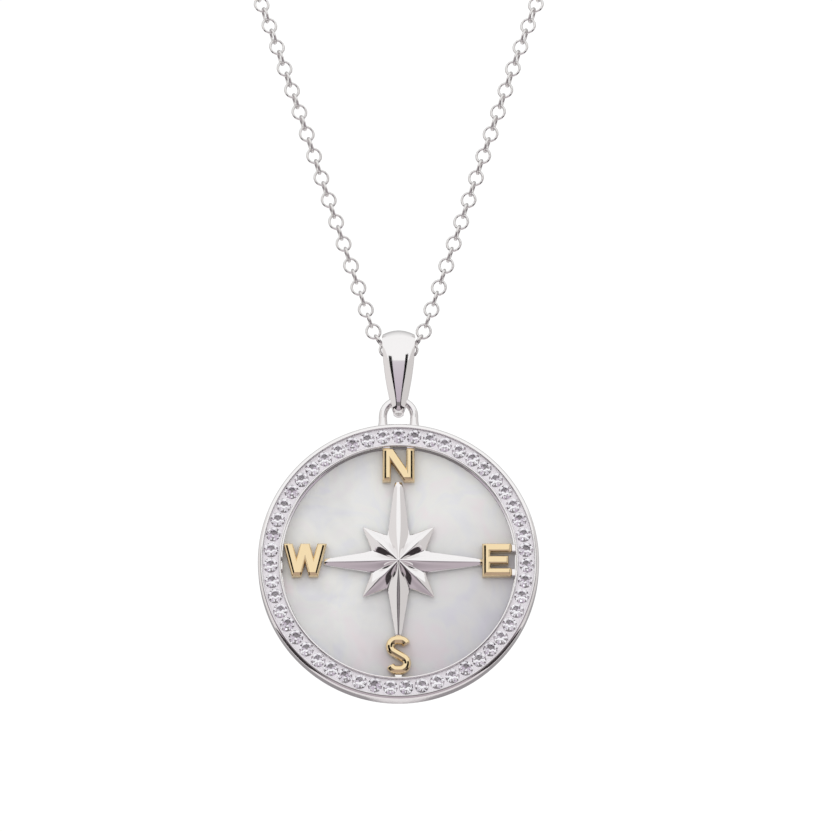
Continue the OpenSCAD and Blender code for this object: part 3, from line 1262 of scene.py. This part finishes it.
    def build(self, place: Matrix, finish: bpy.types.Material) -> None:
        """Sweeps the section round the fold, one station after the other.

        Args:
            place: Where the bail's axis stands in the frame.
            finish: Its material.
        """
        unit = self.unit_section()
        across = Vector((1, 0, 0))
        rings = []
        for point, out, wall, half in self.outline():
            dome = min(self.dome, self.dome_share * wall, self.dome_width * half)
            ring = self.section(unit, half, wall, dome)
            spin = turned_to(across, out, across.cross(out))
            ring.matrix_world = Matrix.Translation(point - dome * out) @ spin
            rings.append(ring)
        bpy.data.objects.remove(unit)
        pick(*rings)
        bpy.ops.object.transform_apply(location=True, rotation=True, scale=True)
        bpy.ops.object.join()
        bail = rings[0]
        bail.name = "bail_strip"
        with editing(bail, Part.EDGES):
            bpy.ops.mesh.select_all(action="SELECT")
            bpy.ops.mesh.bridge_edge_loops(type="CLOSED")
        tidy_normals(bail)
        finish_with(bail, "SUBSURF", levels=1, render_levels=1)
        pick(bail)
        bpy.ops.object.shade_smooth()
        set_down(bail, place)
        hand_over(bail, Body.BAIL, [finish], ["bail"])


# The pendant


@dataclass
class PendantSizes:
    """Levels and radii that the pieces of the pendant share."""

    disc_r: float = 13.0
    thick: float = 2.5
    lip_w: float = 0.4
    inner_lip_w: float = 0.2
    recess: float = 1.0
    back_t: float = 0.6
    stone_d: float = 1.35
    stone_side: float = 0.09
    stone_sink: float = 0.1
    crown_h: float = 0.22
    pavilion_h: float = 0.55
    culet_gap: float = 0.08
    stone_count: int = 51

    @property
    def face(self) -> float:
        """Level of the lips."""
        return self.thick / 2

    @property
    def floor(self) -> float:
        """Level of the closed back's inner side."""
        return self.back_t - self.face

    @property
    def nacre(self) -> float:
        """Level of the mother-of-pearl."""
        return self.face - self.recess

    @property
    def channel_floor(self) -> float:
        """Level of the stone channel's floor."""
        return self.face - self.stone_sink - self.crown_h - self.pavilion_h - self.culet_gap

    @property
    def channel_out(self) -> float:
        """Outer radius of the stone channel."""
        return self.disc_r - self.lip_w

    @property
    def channel_in(self) -> float:
        """Inner radius of the stone channel."""
        return self.channel_out - self.stone_d - 2 * self.stone_side

    @property
    def wall_r(self) -> float:
        """Radius of the rim's inner wall."""
        return self.channel_in - self.inner_lip_w

    @property
    def stone_ring(self) -> float:
        """Radius on which the stones stand."""
        return (self.channel_out + self.channel_in) / 2


@dataclass
class Rim:
    """The silver frame: rounded lips, the stone channel, a closed back, a loop and solder tabs."""

    sizes: PendantSizes
    steps: int = 192
    outer_round: float = 0.34
    lip_round: float = 0.05
    inner_round: float = 0.08
    back_round: float = 0.3
    # A narrow ledge closes the gap round the mother-of-pearl, just below its face
    ledge_w: float = 0.07
    ledge_drop: float = 0.03
    loop_w: float = 3.65
    loop_wire: float = 0.75
    loop_leg: float = 1.0
    loop_back: float = 0.36
    leg_flare: tuple[float, ...] = (1.0, 1.03, 1.16, 1.55)
    # How deep the legs stand in the rim
    leg_sunk: float = 0.25
    # Steps round the loop and round its wire
    loop_steps: tuple[int, int] = (48, 20)
    # A tab's width and height, its rounding, its height over the shell, and how far it stays
    # short of its reach
    tab: tuple[float, float] = (0.7, 0.7)
    tab_round: float = 0.1
    tab_lift: float = 0.1
    tab_short: float = 0.05
    # Where the tabs stand: angle in degrees, reach inwards from the wall, offset across
    tabs: tuple[tuple[float, float, float], ...] = (
        (90, 0.3, -1.1), (90, 0.3, 1.1), (0, 0.5, -1.03), (0, 0.5, 1.27),
        (180, 0.26, -0.695), (180, 0.26, 0.455), (270, 0.34, 0.0))

    def turned(self) -> bpy.types.Object:
        """Returns the rim, cut into a round blank as on a lathe.

        Returns:
            The rim, lying on its back.
        """
        s = self.sizes
        deselect_all()
        bpy.ops.mesh.primitive_cylinder_add(
            vertices=self.steps, radius=s.disc_r, depth=s.thick, end_fill_type="NGON"
        )
        rim = bpy.context.object
        with editing(rim):
            choose(rim, Part.FACES, lambda f: f.normal.z > ALONG)
            ledge = s.nacre - self.ledge_drop
            for width, rise in (
                (s.lip_w, s.channel_floor - s.face),
                (s.channel_out - s.channel_in, s.face - s.channel_floor),
                (s.inner_lip_w, ledge - s.face),
                (self.ledge_w, s.floor - ledge),
            ):
                bpy.ops.mesh.inset(thickness=width)
                extrude((0, 0, rise))
        with editing(rim, Part.EDGES):
            for radius, height, width, segments in (
                (s.disc_r, s.face, self.outer_round, 6),
                (s.channel_out, s.face, self.lip_round, 4),
                (s.channel_in, s.face, self.inner_round, 4),
                (s.wall_r, s.face, self.inner_round, 4),
                (s.disc_r, -s.face, self.back_round, 6),
            ):
                choose(rim, Part.EDGES, ring_edge(radius, height))
                bpy.ops.mesh.bevel(offset=width, segments=segments, affect="EDGES")
        return rim

    def loop(self) -> bpy.types.Object:
        """Returns the loop on top of the rim: half a ring of wire on two legs that widen.

        Returns:
            The loop, in its place on the rim.
        """
        s = self.sizes
        radius = (self.loop_w - self.loop_wire) / 2
        base = s.disc_r + self.loop_leg
        deselect_all()
        round_steps, wire_steps = self.loop_steps
        bpy.ops.mesh.primitive_torus_add(
            major_segments=round_steps, minor_segments=wire_steps, major_radius=radius,
            minor_radius=self.loop_wire / 2, location=(0, base, -self.loop_back),
        )
        loop = bpy.context.object
        bpy.ops.object.transform_apply(location=True)
        with editing(loop, Part.VERTS):
            choose(loop, Part.VERTS, lambda v: v.co.y < base - NEAR)
            bpy.ops.mesh.delete(type="VERT")
        sunk = math.sqrt(s.disc_r**2 - radius**2) - self.leg_sunk
        drop = (base - sunk) / (len(self.leg_flare) - 1)
        with editing(loop, Part.EDGES):
            for side in (-1, 1):
                for k, (wide, wider) in enumerate(zip(self.leg_flare, self.leg_flare[1:])):
                    level = base - drop * k
                    choose(
                        loop, Part.EDGES,
                        lambda e: middle_of(e).x * side > 0
                        and all(abs(v.co.y - level) < NEAR for v in e.verts),
                    )
                    extrude((0, -drop, 0))
                    bpy.ops.transform.resize(
                        value=(wider / wide, 1, wider / wide),
                        center_override=(side * radius, level - drop, -self.loop_back),
                    )
                bpy.ops.mesh.edge_face_add()
        return loop

    def one_tab(self, angle: float, reach: float, offset: float) -> bpy.types.Object:
        """Returns a soft-edged solder tab from the rim's wall to the back of a letter.

        Args:
            angle: Where it stands on the rim, in degrees.
            reach: How far it reaches inwards from the wall.
            offset: How far it stands to the side.

        Returns:
            The tab, in its place on the rim.
        """
        s = self.sizes
        inner = s.wall_r - reach + self.tab_short
        outer = s.wall_r + s.inner_lip_w / 2
        low = s.nacre + self.tab_lift
        wide, tall = self.tab
        deselect_all()
        bpy.ops.mesh.primitive_cube_add(
            size=1, location=((inner + outer) / 2, offset, low + tall / 2)
        )
        tab = bpy.context.object
        tab.scale = (outer - inner, wide, tall)
        bpy.ops.object.transform_apply(location=True, scale=True)
        with editing(tab, Part.EDGES):
            bpy.ops.mesh.select_all(action="SELECT")
            bpy.ops.mesh.bevel(offset=self.tab_round, segments=3, affect="EDGES")
        tab.rotation_euler.z = math.radians(angle)
        pick(tab)
        bpy.ops.object.transform_apply(rotation=True)
        return tab

    def build(self, place: Matrix, finish: bpy.types.Material) -> None:
        """Joins the rim, the loop and the tabs into one soldered piece.

        Args:
            place: Where the pendant stands in the frame.
            finish: Its material.
        """
        rim = self.turned()
        rim.name = "silver_frame"
        for extra in (self.loop(), *(self.one_tab(*t) for t in self.tabs)):
            tidy_normals(extra)
            finish_with(rim, "BOOLEAN", operation="UNION", object=extra, solver="EXACT")
            bpy.data.objects.remove(extra)
        tidy_normals(rim)
        smooth(rim)
        even_flats(rim)
        set_down(rim, place)
        hand_over(rim, Body.PENDANT, [finish], ["frame"])


@dataclass
class StoneRing:
    """Round brilliants in a satin bed that fills the channel round their girdles."""

    sizes: PendantSizes
    crown_angle: float = 34.5
    star_angle: float = 21.0
    half_angle: float = 41.0
    table_share: float = 0.57
    pavilion_angle: float = 40.2
    lower_angle: float = 41.6
    girdle: float = 0.03
    # Where the facets beside the girdle and the star facets pass: off the girdle's edge, and
    # as a share of the table's radius
    half_gap: float = 0.004
    star_share: float = 0.985
    blank_steps: int = 32
    seat_gap: float = 0.005
    # How far the bed stays off the channel, and how far it stands over the girdles
    bed_gap: float = 0.01
    bed_rise: float = 0.015
    bed_steps: int = 192
    tilt: float = 4.0
    seed: int = 7

    @staticmethod
    def cut(turn: float, slope: float, radius: float, height: float, up: int) -> None:
        """Grinds one flat facet of the stone that is being edited.

        Args:
            turn: The facet's direction round the stone, in degrees.
            slope: Its angle to the girdle's plane, in degrees.
            radius: A distance from the axis where the facet passes.
            height: The height where it passes there.
            up: 1 on the crown and -1 on the pavilion.
        """
        a, b = math.radians(turn), math.radians(slope)
        normal = (math.cos(a) * math.sin(b), math.sin(a) * math.sin(b), up * math.cos(b))
        slice_off((radius * math.cos(a), radius * math.sin(a), height), normal)

    def brilliant(self) -> bpy.types.Object:
        """Returns one stone, cut facet by facet, with its table up and its girdle at the origin.

        Returns:
            The stone.
        """
        r = self.sizes.stone_d / 2
        table = r * self.table_share
        rise = (r - table) * math.tan(math.radians(self.crown_angle))
        deselect_all()
        bpy.ops.mesh.primitive_cylinder_add(
            vertices=self.blank_steps, radius=r, depth=4 * r, end_fill_type="NGON",
            rotation=(0, 0, math.radians(180 / self.blank_steps)),
        )
        stone = bpy.context.object
        top, low = self.girdle / 2, -self.girdle / 2
        with editing(stone):
            for k in range(8):
                self.cut(45 * k, self.crown_angle, r, top, 1)
                self.cut(45 * k, self.pavilion_angle, r, low, -1)
            for k in range(16):
                self.cut(22.5 * k + 11.25, self.half_angle, r, top + self.half_gap, 1)
                self.cut(22.5 * k + 11.25, self.lower_angle, r, low - self.half_gap, -1)
            for k in range(8):
                self.cut(45 * k + 22.5, self.star_angle, table * self.star_share, top + rise, 1)
            self.cut(0, 0, 0, top + rise, 1)
        tidy_normals(stone, 1e-4)
        return stone

    def build(self, place: Matrix, stone_finish: bpy.types.Material,
              bed_finish: bpy.types.Material) -> None:
        """Makes the bed with a seat for each stone, sets the stones and joins all.

        Args:
            place: Where the pendant stands in the frame.
            stone_finish: The stones' material.
            bed_finish: The bed's material.
        """
        s = self.sizes
        level = s.face - s.stone_sink - s.crown_h
        # Each stone sits a little turned and tilted, as stones set by hand do
        hand = random.Random(self.seed)
        spots = []
        for k in range(s.stone_count):
            spot = Matrix.Rotation(math.radians(90 + 360 * k / s.stone_count), 4, "Z")
            spot @= Matrix.Translation((s.stone_ring, 0, level))
            for axis in ("X", "Y"):
                lean = hand.uniform(-self.tilt, self.tilt)
                spot @= Matrix.Rotation(math.radians(lean), 4, axis)
            spots.append(spot @ Matrix.Rotation(hand.uniform(0, math.pi / 4), 4, "Z"))
        stone = self.brilliant()
        cutter = own_copy(stone)
        grow = 1 + 2 * self.seat_gap / s.stone_d
        cutter.data.transform(Matrix.Scale(grow, 4))
        stones = copies(stone, spots, "cut_stones")
        cutters = copies(cutter, spots, "seats")
        deselect_all()
        bed_r = s.channel_out - self.bed_gap
        bpy.ops.mesh.primitive_cylinder_add(
            vertices=self.bed_steps, radius=bed_r, depth=1, end_fill_type="NGON"
        )
        bed = bpy.context.object
        bed_low = s.channel_floor + self.bed_gap
        bed_top = level + self.bed_rise
        bed.scale.z = bed_top - bed_low
        bed.location.z = (bed_top + bed_low) / 2
        bpy.ops.object.transform_apply(location=True, scale=True)
        hole_r = s.channel_in + self.bed_gap
        with editing(bed):
            choose(bed, Part.FACES, lambda f: abs(f.normal.z) > ALONG)
            bpy.ops.mesh.inset(thickness=bed_r - hole_r)
            bpy.ops.mesh.delete(type="FACE")
        with editing(bed, Part.EDGES):
            choose(bed, Part.EDGES, ring_edge(hole_r))
            bpy.ops.mesh.bridge_edge_loops()
        tidy_normals(bed)
        finish_with(bed, "BOOLEAN", operation="DIFFERENCE", object=cutters, solver="EXACT")
        bpy.data.objects.remove(cutters)
        bed.data.materials.clear()
        bed.data.materials.append(bed_finish)
        stones.data.materials.append(stone_finish)
        smooth(bed, 30)
        pick(stones, bed)
        bpy.ops.object.join()
        stones.name = "stone_ring"
        set_down(stones, place)
        hand_over(stones, Body.PENDANT, [], ["crystals"])


@dataclass
class CompassStar:
    """Eight full, rounded arms, drawn as a coarse net that is then subdivided smooth."""

    sizes: PendantSizes
    notch_r: float = 2.7
    short_arm: float = 4.65
    lift: float = 0.25
    edge: float = 0.28
    peak: float = 1.3
    # Reach of the long arms and half their width at the tip: east, north, west, south
    long_arms: tuple[tuple[float, float], ...] = (
        (7.72, 0.29), (7.52, 0.38), (6.88, 0.29), (6.98, 0.27))
    # Half the width at the tip of a short arm
    short_half: float = 0.05
    # How steeply the ridge stands over the edge at the tips
    tip_slope: float = 0.47
    # Beside the peak: distance along the arm, and heights of the valley and of the ridge
    inner: tuple[float, float, float] = (1.1, 0.72, 1.22)
    # Between the notches: heights of the edge and of the ridges of a long and of a short arm
    notch: tuple[float, float, float] = (0.42, 1.03, 1.08)
    # Across an arm: shares of half the width and of the ridge's height over the edge
    across: tuple[tuple[float, float], ...] = (
        (-1.0, 0.0), (-0.5, 0.53), (0.0, 1.0), (0.5, 0.53), (1.0, 0.0))
    # How sharp the subdivision keeps the valleys, the upper edge, the notches and the tips
    valley_crease: float = 0.85
    edge_crease: float = 0.48
    notch_crease: float = 1.0
    tip_crease: float = 0.3
    levels: int = 3

    def rows(self, arm: int) -> list[list[Vector]]:
        """Returns the rows of an arm's net, from the peak to the tip.

        Args:
            arm: The arm's number, anticlockwise from the east.

        Returns:
            The rows, each from one side of the arm to the other.
        """
        half_turn = math.tan(math.radians(22.5))
        deep = self.notch_r * math.cos(math.radians(22.5))
        short = arm % 2
        reach, tip_half = (self.short_arm, self.short_half) if short else self.long_arms[arm // 2]
        inner, valley, inner_ridge = self.inner
        spin = Matrix.Rotation(math.radians(45 * arm), 3, "Z")
        base = self.sizes.nacre + self.lift
        return [
            [spin @ Vector((along, x * half, base + low + (high - low) * z)) for x, z in self.across]
            for along, half, low, high in (
                (0.0, 0.0, self.peak, self.peak),
                (inner, inner * half_turn, valley, inner_ridge),
                (deep, deep * half_turn, self.notch[0], self.notch[1 + short]),
                (reach, tip_half, self.edge, self.edge + self.tip_slope * tip_half),
            )
        ]

    def arm(self, index: int) -> bpy.types.Object:
        """Returns the top of one arm: a grid with each point drawn out to its place.

        Args:
            index: The arm's number, as in rows().

        Returns:
            The arm's net.
        """
        rows = self.rows(index)
        deselect_all()
        bpy.ops.mesh.primitive_grid_add(
            x_subdivisions=len(self.across) - 1, y_subdivisions=len(rows) - 1, size=2
        )
        net = bpy.context.object
        starts = [v.co.copy() for v in net.data.vertices]
        order = sorted(range(len(starts)), key=lambda i: (round(starts[i].y, 3), starts[i].x))
        goals = [point for row in rows for point in row]
        with editing(net, Part.VERTS):
            move_points(net, dict(zip(order, goals, strict=True)))
        return net

    def build(self, place: Matrix, finish: bpy.types.Material) -> None:
        """Joins the arms at the peak, gives them their sides and smooths the net.

        Args:
            place: Where the pendant stands in the frame.
            finish: The star's material.
        """
        base = self.sizes.nacre + self.lift
        arms = [self.arm(index) for index in range(8)]
        pick(*arms)
        bpy.ops.object.join()
        star = arms[0]
        star.name = "compass_star"
        with editing(star, Part.EDGES):
            bpy.ops.mesh.select_all(action="SELECT")
            bpy.ops.mesh.remove_doubles(threshold=2 * NEAR)
            choose(star, Part.EDGES, self.in_valley)
            bpy.ops.transform.edge_crease(value=self.valley_crease)
            choose(star, Part.EDGES, lambda e: e.is_boundary)
            bpy.ops.transform.edge_crease(value=self.edge_crease)
            extrude((0, 0, -self.edge))
            bpy.ops.transform.resize(value=(1, 1, 0), center_override=(0, 0, base))
            bpy.ops.transform.edge_crease(value=1.0)
            choose(star, Part.EDGES, lambda e: self.is_upright(e) and self.radius(e) < self.deep)
            bpy.ops.transform.edge_crease(value=self.notch_crease)
            choose(star, Part.EDGES, lambda e: self.is_upright(e) and self.radius(e) > self.deep)
            bpy.ops.transform.edge_crease(value=self.tip_crease)
        finish_with(star, "SUBSURF", levels=self.levels, render_levels=self.levels)
        # The underside is closed last, so that it stays one flat face between the notches
        with editing(star, Part.EDGES):
            choose(star, Part.EDGES, lambda e: e.is_boundary)
            bpy.ops.mesh.edge_face_add()
        tidy_normals(star)
        smooth(star, 50)
        set_down(star, place)
        hand_over(star, Body.PENDANT, [finish], ["star"])

    @property
    def deep(self) -> float:
        """Radius that parts the notches from the tips."""
        return (self.notch_r + self.short_arm) / 2

    @staticmethod
    def is_upright(edge: Any) -> bool:
        """True if an edge stands upright."""
        first, second = (v.co for v in edge.verts)
        return (first.xy - second.xy).length < NEAR < abs(first.z - second.z)

    @staticmethod
    def radius(edge: Any) -> float:
        """Returns an edge's distance from the axis."""
        return middle_of(edge).xy.length

    @staticmethod
    def in_valley(edge: Any) -> bool:
        """True if an edge runs along the bottom of a valley between two arms."""
        return not edge.is_boundary and all(
            v.co.xy.length < NEAR
            or abs(math.degrees(math.atan2(v.co.y, v.co.x)) % 45 - 22.5) < 0.5
            for v in edge.verts
        )


@dataclass
class GoldLetters:
    """The four letters: full strokes with rounded shoulders, sloped towards the outer sides."""

    sizes: PendantSizes
    # The letters of straight strokes, with the directions in degrees in which they slope off
    straight: tuple[tuple[str, tuple[float, ...]], ...] = (
        ("letter_n", (180.0, 0.0, 270.0)), ("letter_e", (180.0, 270.0)),
        ("letter_w", (194.0, 346.0, 270.0)))
    curved: str = "letter_s"
    fatten: float = 0.04
    stroke: float = 0.7
    tall: float = 1.0
    slope_w: float = 0.36
    slope_h: float = 0.108
    shoulder: float = 0.2
    shoulder_steps: int = 10
    s_w: float = 2.25
    s_h: float = 3.5
    s_bowl: float = 0.602
    s_open: float = 22.0
    s_y: float = -8.78
    s_low: float = 0.1
    # The straight end of the curved letter's stroke, which is rounded over
    s_end: float = 0.14
    s_end_round: float = 0.12
    arc_step: float = 6.0

    def from_node(self, node: bpy.types.Object, slopes: Sequence[float],
                  place: Matrix) -> bpy.types.Object:
        """Returns a letter of straight strokes, raised from the frame's plain one.

        Args:
            node: The plain letter of the frame.
            slopes: The directions in which its face slopes off, in degrees.
            place: Where the pendant stands in the frame.

        Returns:
            The letter, in the pendant's drawing.
        """
        letter = copy_of_node(node, f"gold_{node.name}", place)
        top = max(v.co.z for v in letter.data.vertices)
        with editing(letter):
            choose(letter, Part.FACES, lambda f: abs(f.normal.z) < 0.5)
            bpy.ops.transform.shrink_fatten(value=self.fatten, use_even_offset=True)
        fall = math.atan2(self.slope_h, self.slope_w)
        for angle in slopes:
            turn = math.radians(angle)
            way = Vector((math.cos(turn), math.sin(turn), 0))
            start = way * (max(v.co.dot(way) for v in letter.data.vertices) - self.slope_w)
            with editing(letter):
                slice_off(
                    start + Vector((0, 0, top)),
                    way * math.sin(fall) + Vector((0, 0, math.cos(fall))),
                )
        with editing(letter, Part.EDGES):
            choose(letter, Part.EDGES, self.on_brink)
            bpy.ops.mesh.bevel(
                offset=self.shoulder, segments=self.shoulder_steps, affect="EDGES"
            )
        tidy_normals(letter)
        finish_with(letter, "TRIANGULATE", min_vertices=5)
        return letter

    @staticmethod
    def on_brink(edge: Any) -> bool:
        """True if an edge parts the upper face of a letter from one of its sides."""
        tilts = sorted(f.normal.z for f in edge.link_faces)
        return len(tilts) == 2 and abs(tilts[0]) < 1 - ALONG and tilts[1] > ALONG

    def section(self) -> bpy.types.Object:
        """Returns the stroke's cross-section, standing on the X axis.

        Returns:
            The cross-section, a filled face.
        """
        half = self.stroke / 2 + self.fatten
        flat = half - self.slope_w
        brink = self.tall - self.slope_h
        corners = (
            (-half, 0), (half, 0), (half, brink), (flat, self.tall), (-flat, self.tall),
            (-half, brink),
        )
        deselect_all()
        bpy.ops.mesh.primitive_circle_add(vertices=len(corners), radius=1, fill_type="NGON")
        shape = bpy.context.object
        goals = {number: Vector((x, y, 0)) for number, (x, y) in enumerate(corners)}
        with editing(shape, Part.VERTS):
            move_points(shape, goals)
            choose(
                shape, Part.VERTS,
                lambda v: abs(v.co.y - brink) < NEAR and abs(v.co.x) > half - NEAR,
            )
            bpy.ops.mesh.bevel(
                offset=self.shoulder, segments=self.shoulder_steps, affect="VERTICES"
            )
        return shape

    def swept(self) -> bpy.types.Object:
        """Returns the curved letter: the section spun and drawn from one end to the other.

        Returns:
            The letter, in the pendant's drawing.
        """
        flat = (self.s_w - self.stroke) / 2 - self.s_bowl
        high = (self.s_h - self.stroke) / 2 - self.s_bowl
        half_way = math.hypot(flat, high)
        # Where the bowl's arc runs over into the straight spine, which passes the middle
        spine = math.degrees(
            math.atan2(-high, flat) - math.acos(self.s_bowl / half_way)
        ) % 360
        run = 2 * math.sqrt(half_way**2 - self.s_bowl**2)
        start = self.s_open + math.degrees((self.s_end - self.fatten) / self.s_bowl)
        turn = math.radians(start)
        along = Vector((-math.sin(turn), math.cos(turn), 0))
        point = Vector((flat, high, 0)) + self.s_bowl * Vector((along.y, -along.x, 0))
        down = math.radians(spine + 90)
        letter = self.section()
        letter.name = f"gold_{self.curved}"
        spin = turned_to(Vector((-along.y, along.x, 0)), Vector((0, 0, 1)), along)
        letter.matrix_world = Matrix.Translation(point - self.s_end * along) @ spin
        pick(letter)
        bpy.ops.object.transform_apply(location=True, rotation=True, scale=True)
        with editing(letter):
            bpy.ops.mesh.select_all(action="SELECT")
            extrude(self.s_end * along)
            self.spin((flat, high), 90 - start)
            extrude((-2 * flat, 0, 0))
            self.spin((-flat, high), spine - 90)
            extrude((run * math.cos(down), run * math.sin(down), 0))
            self.spin((flat, -high), 90 - spine)
            extrude((-2 * flat, 0, 0))
            self.spin((-flat, -high), start - 90)
            extrude(self.s_end * along)
        tidy_normals(letter)
        with editing(letter, Part.EDGES):
            choose(letter, Part.EDGES, lambda e: any(len(f.verts) > 4 for f in e.link_faces))
            bpy.ops.mesh.bevel(offset=self.s_end_round, segments=4, affect="EDGES")
        set_down(letter, Matrix.Translation((0, self.s_y, self.sizes.nacre + self.s_low)))
        return letter

    def spin(self, middle: tuple[float, float], angle: float) -> None:
        """Spins the selected end of the stroke on about a point, by an angle in degrees."""
        bpy.ops.mesh.spin(
            steps=max(round(abs(angle) / self.arc_step), 1), angle=math.radians(angle),
            center=(*middle, 0), axis=(0, 0, -1),
        )

    def build(self, nodes: dict[str, bpy.types.Object], place: Matrix,
              finish: bpy.types.Material) -> None:
        """Makes the letters: three from the frame's plain ones, and the curved one by sweeping.

        Args:
            nodes: The frame's nodes.
            place: Where the pendant stands in the frame.
            finish: The letters' material.
        """
        made = {
            name: self.from_node(nodes[name], slopes, place) for name, slopes in self.straight
        }
        made[self.curved] = self.swept()
        for name, letter in made.items():
            smooth(letter, 9)
            even_flats(letter)
            set_down(letter, place)
            hand_over(letter, Body.PENDANT, [finish], [name])


def dress(node: bpy.types.Object, finish: bpy.types.Material) -> None:
    """Gives a node of the frame that stays as it is a finish and a slot.

    Args:
        node: The node's object.
        finish: Its material.
    """
    node.data.materials.clear()
    node.data.materials.append(finish)
    LOG.info("%s: stays as built, finished in %s", node.name, finish.name)


def main() -> None:
    """Builds the studio and every piece."""
    logging.basicConfig(level=logging.INFO, format="%(message)s")
    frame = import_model()
    deselect_all()
    nodes = frame["nodes"]
    sizes = PendantSizes()
    low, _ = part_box("frame")
    middle = Vector((0, low.y + sizes.face * MM, low.z + sizes.disc_r * MM))
    stand = Matrix.Translation(middle) @ Matrix.Rotation(math.pi / 2, 4, "X") @ Matrix.Scale(MM, 4)
    swing = next(j for j in frame["joints"] if j["name"] == "bail_swing")
    hang = Matrix.Translation(Vector(swing["pos_m"])) @ Matrix.Scale(MM, 4)

    Studio().build(middle / MM)
    silver, gold = SILVER.make(), GOLD.make()
    LinkChain().build(WIRE.make())
    FoldedBail().build(hang, silver)
    Rim(sizes).build(stand, silver)
    StoneRing(sizes).build(stand, CutStone().make(), SatinSetting().make())
    CompassStar(sizes).build(stand, silver)
    GoldLetters(sizes).build(nodes, stand, gold)
    dress(nodes["clasp"], silver)
    dress(nodes["mother_of_pearl"], MotherOfPearl(middle, sizes.disc_r).make())


if __name__ == "__main__":
    main()
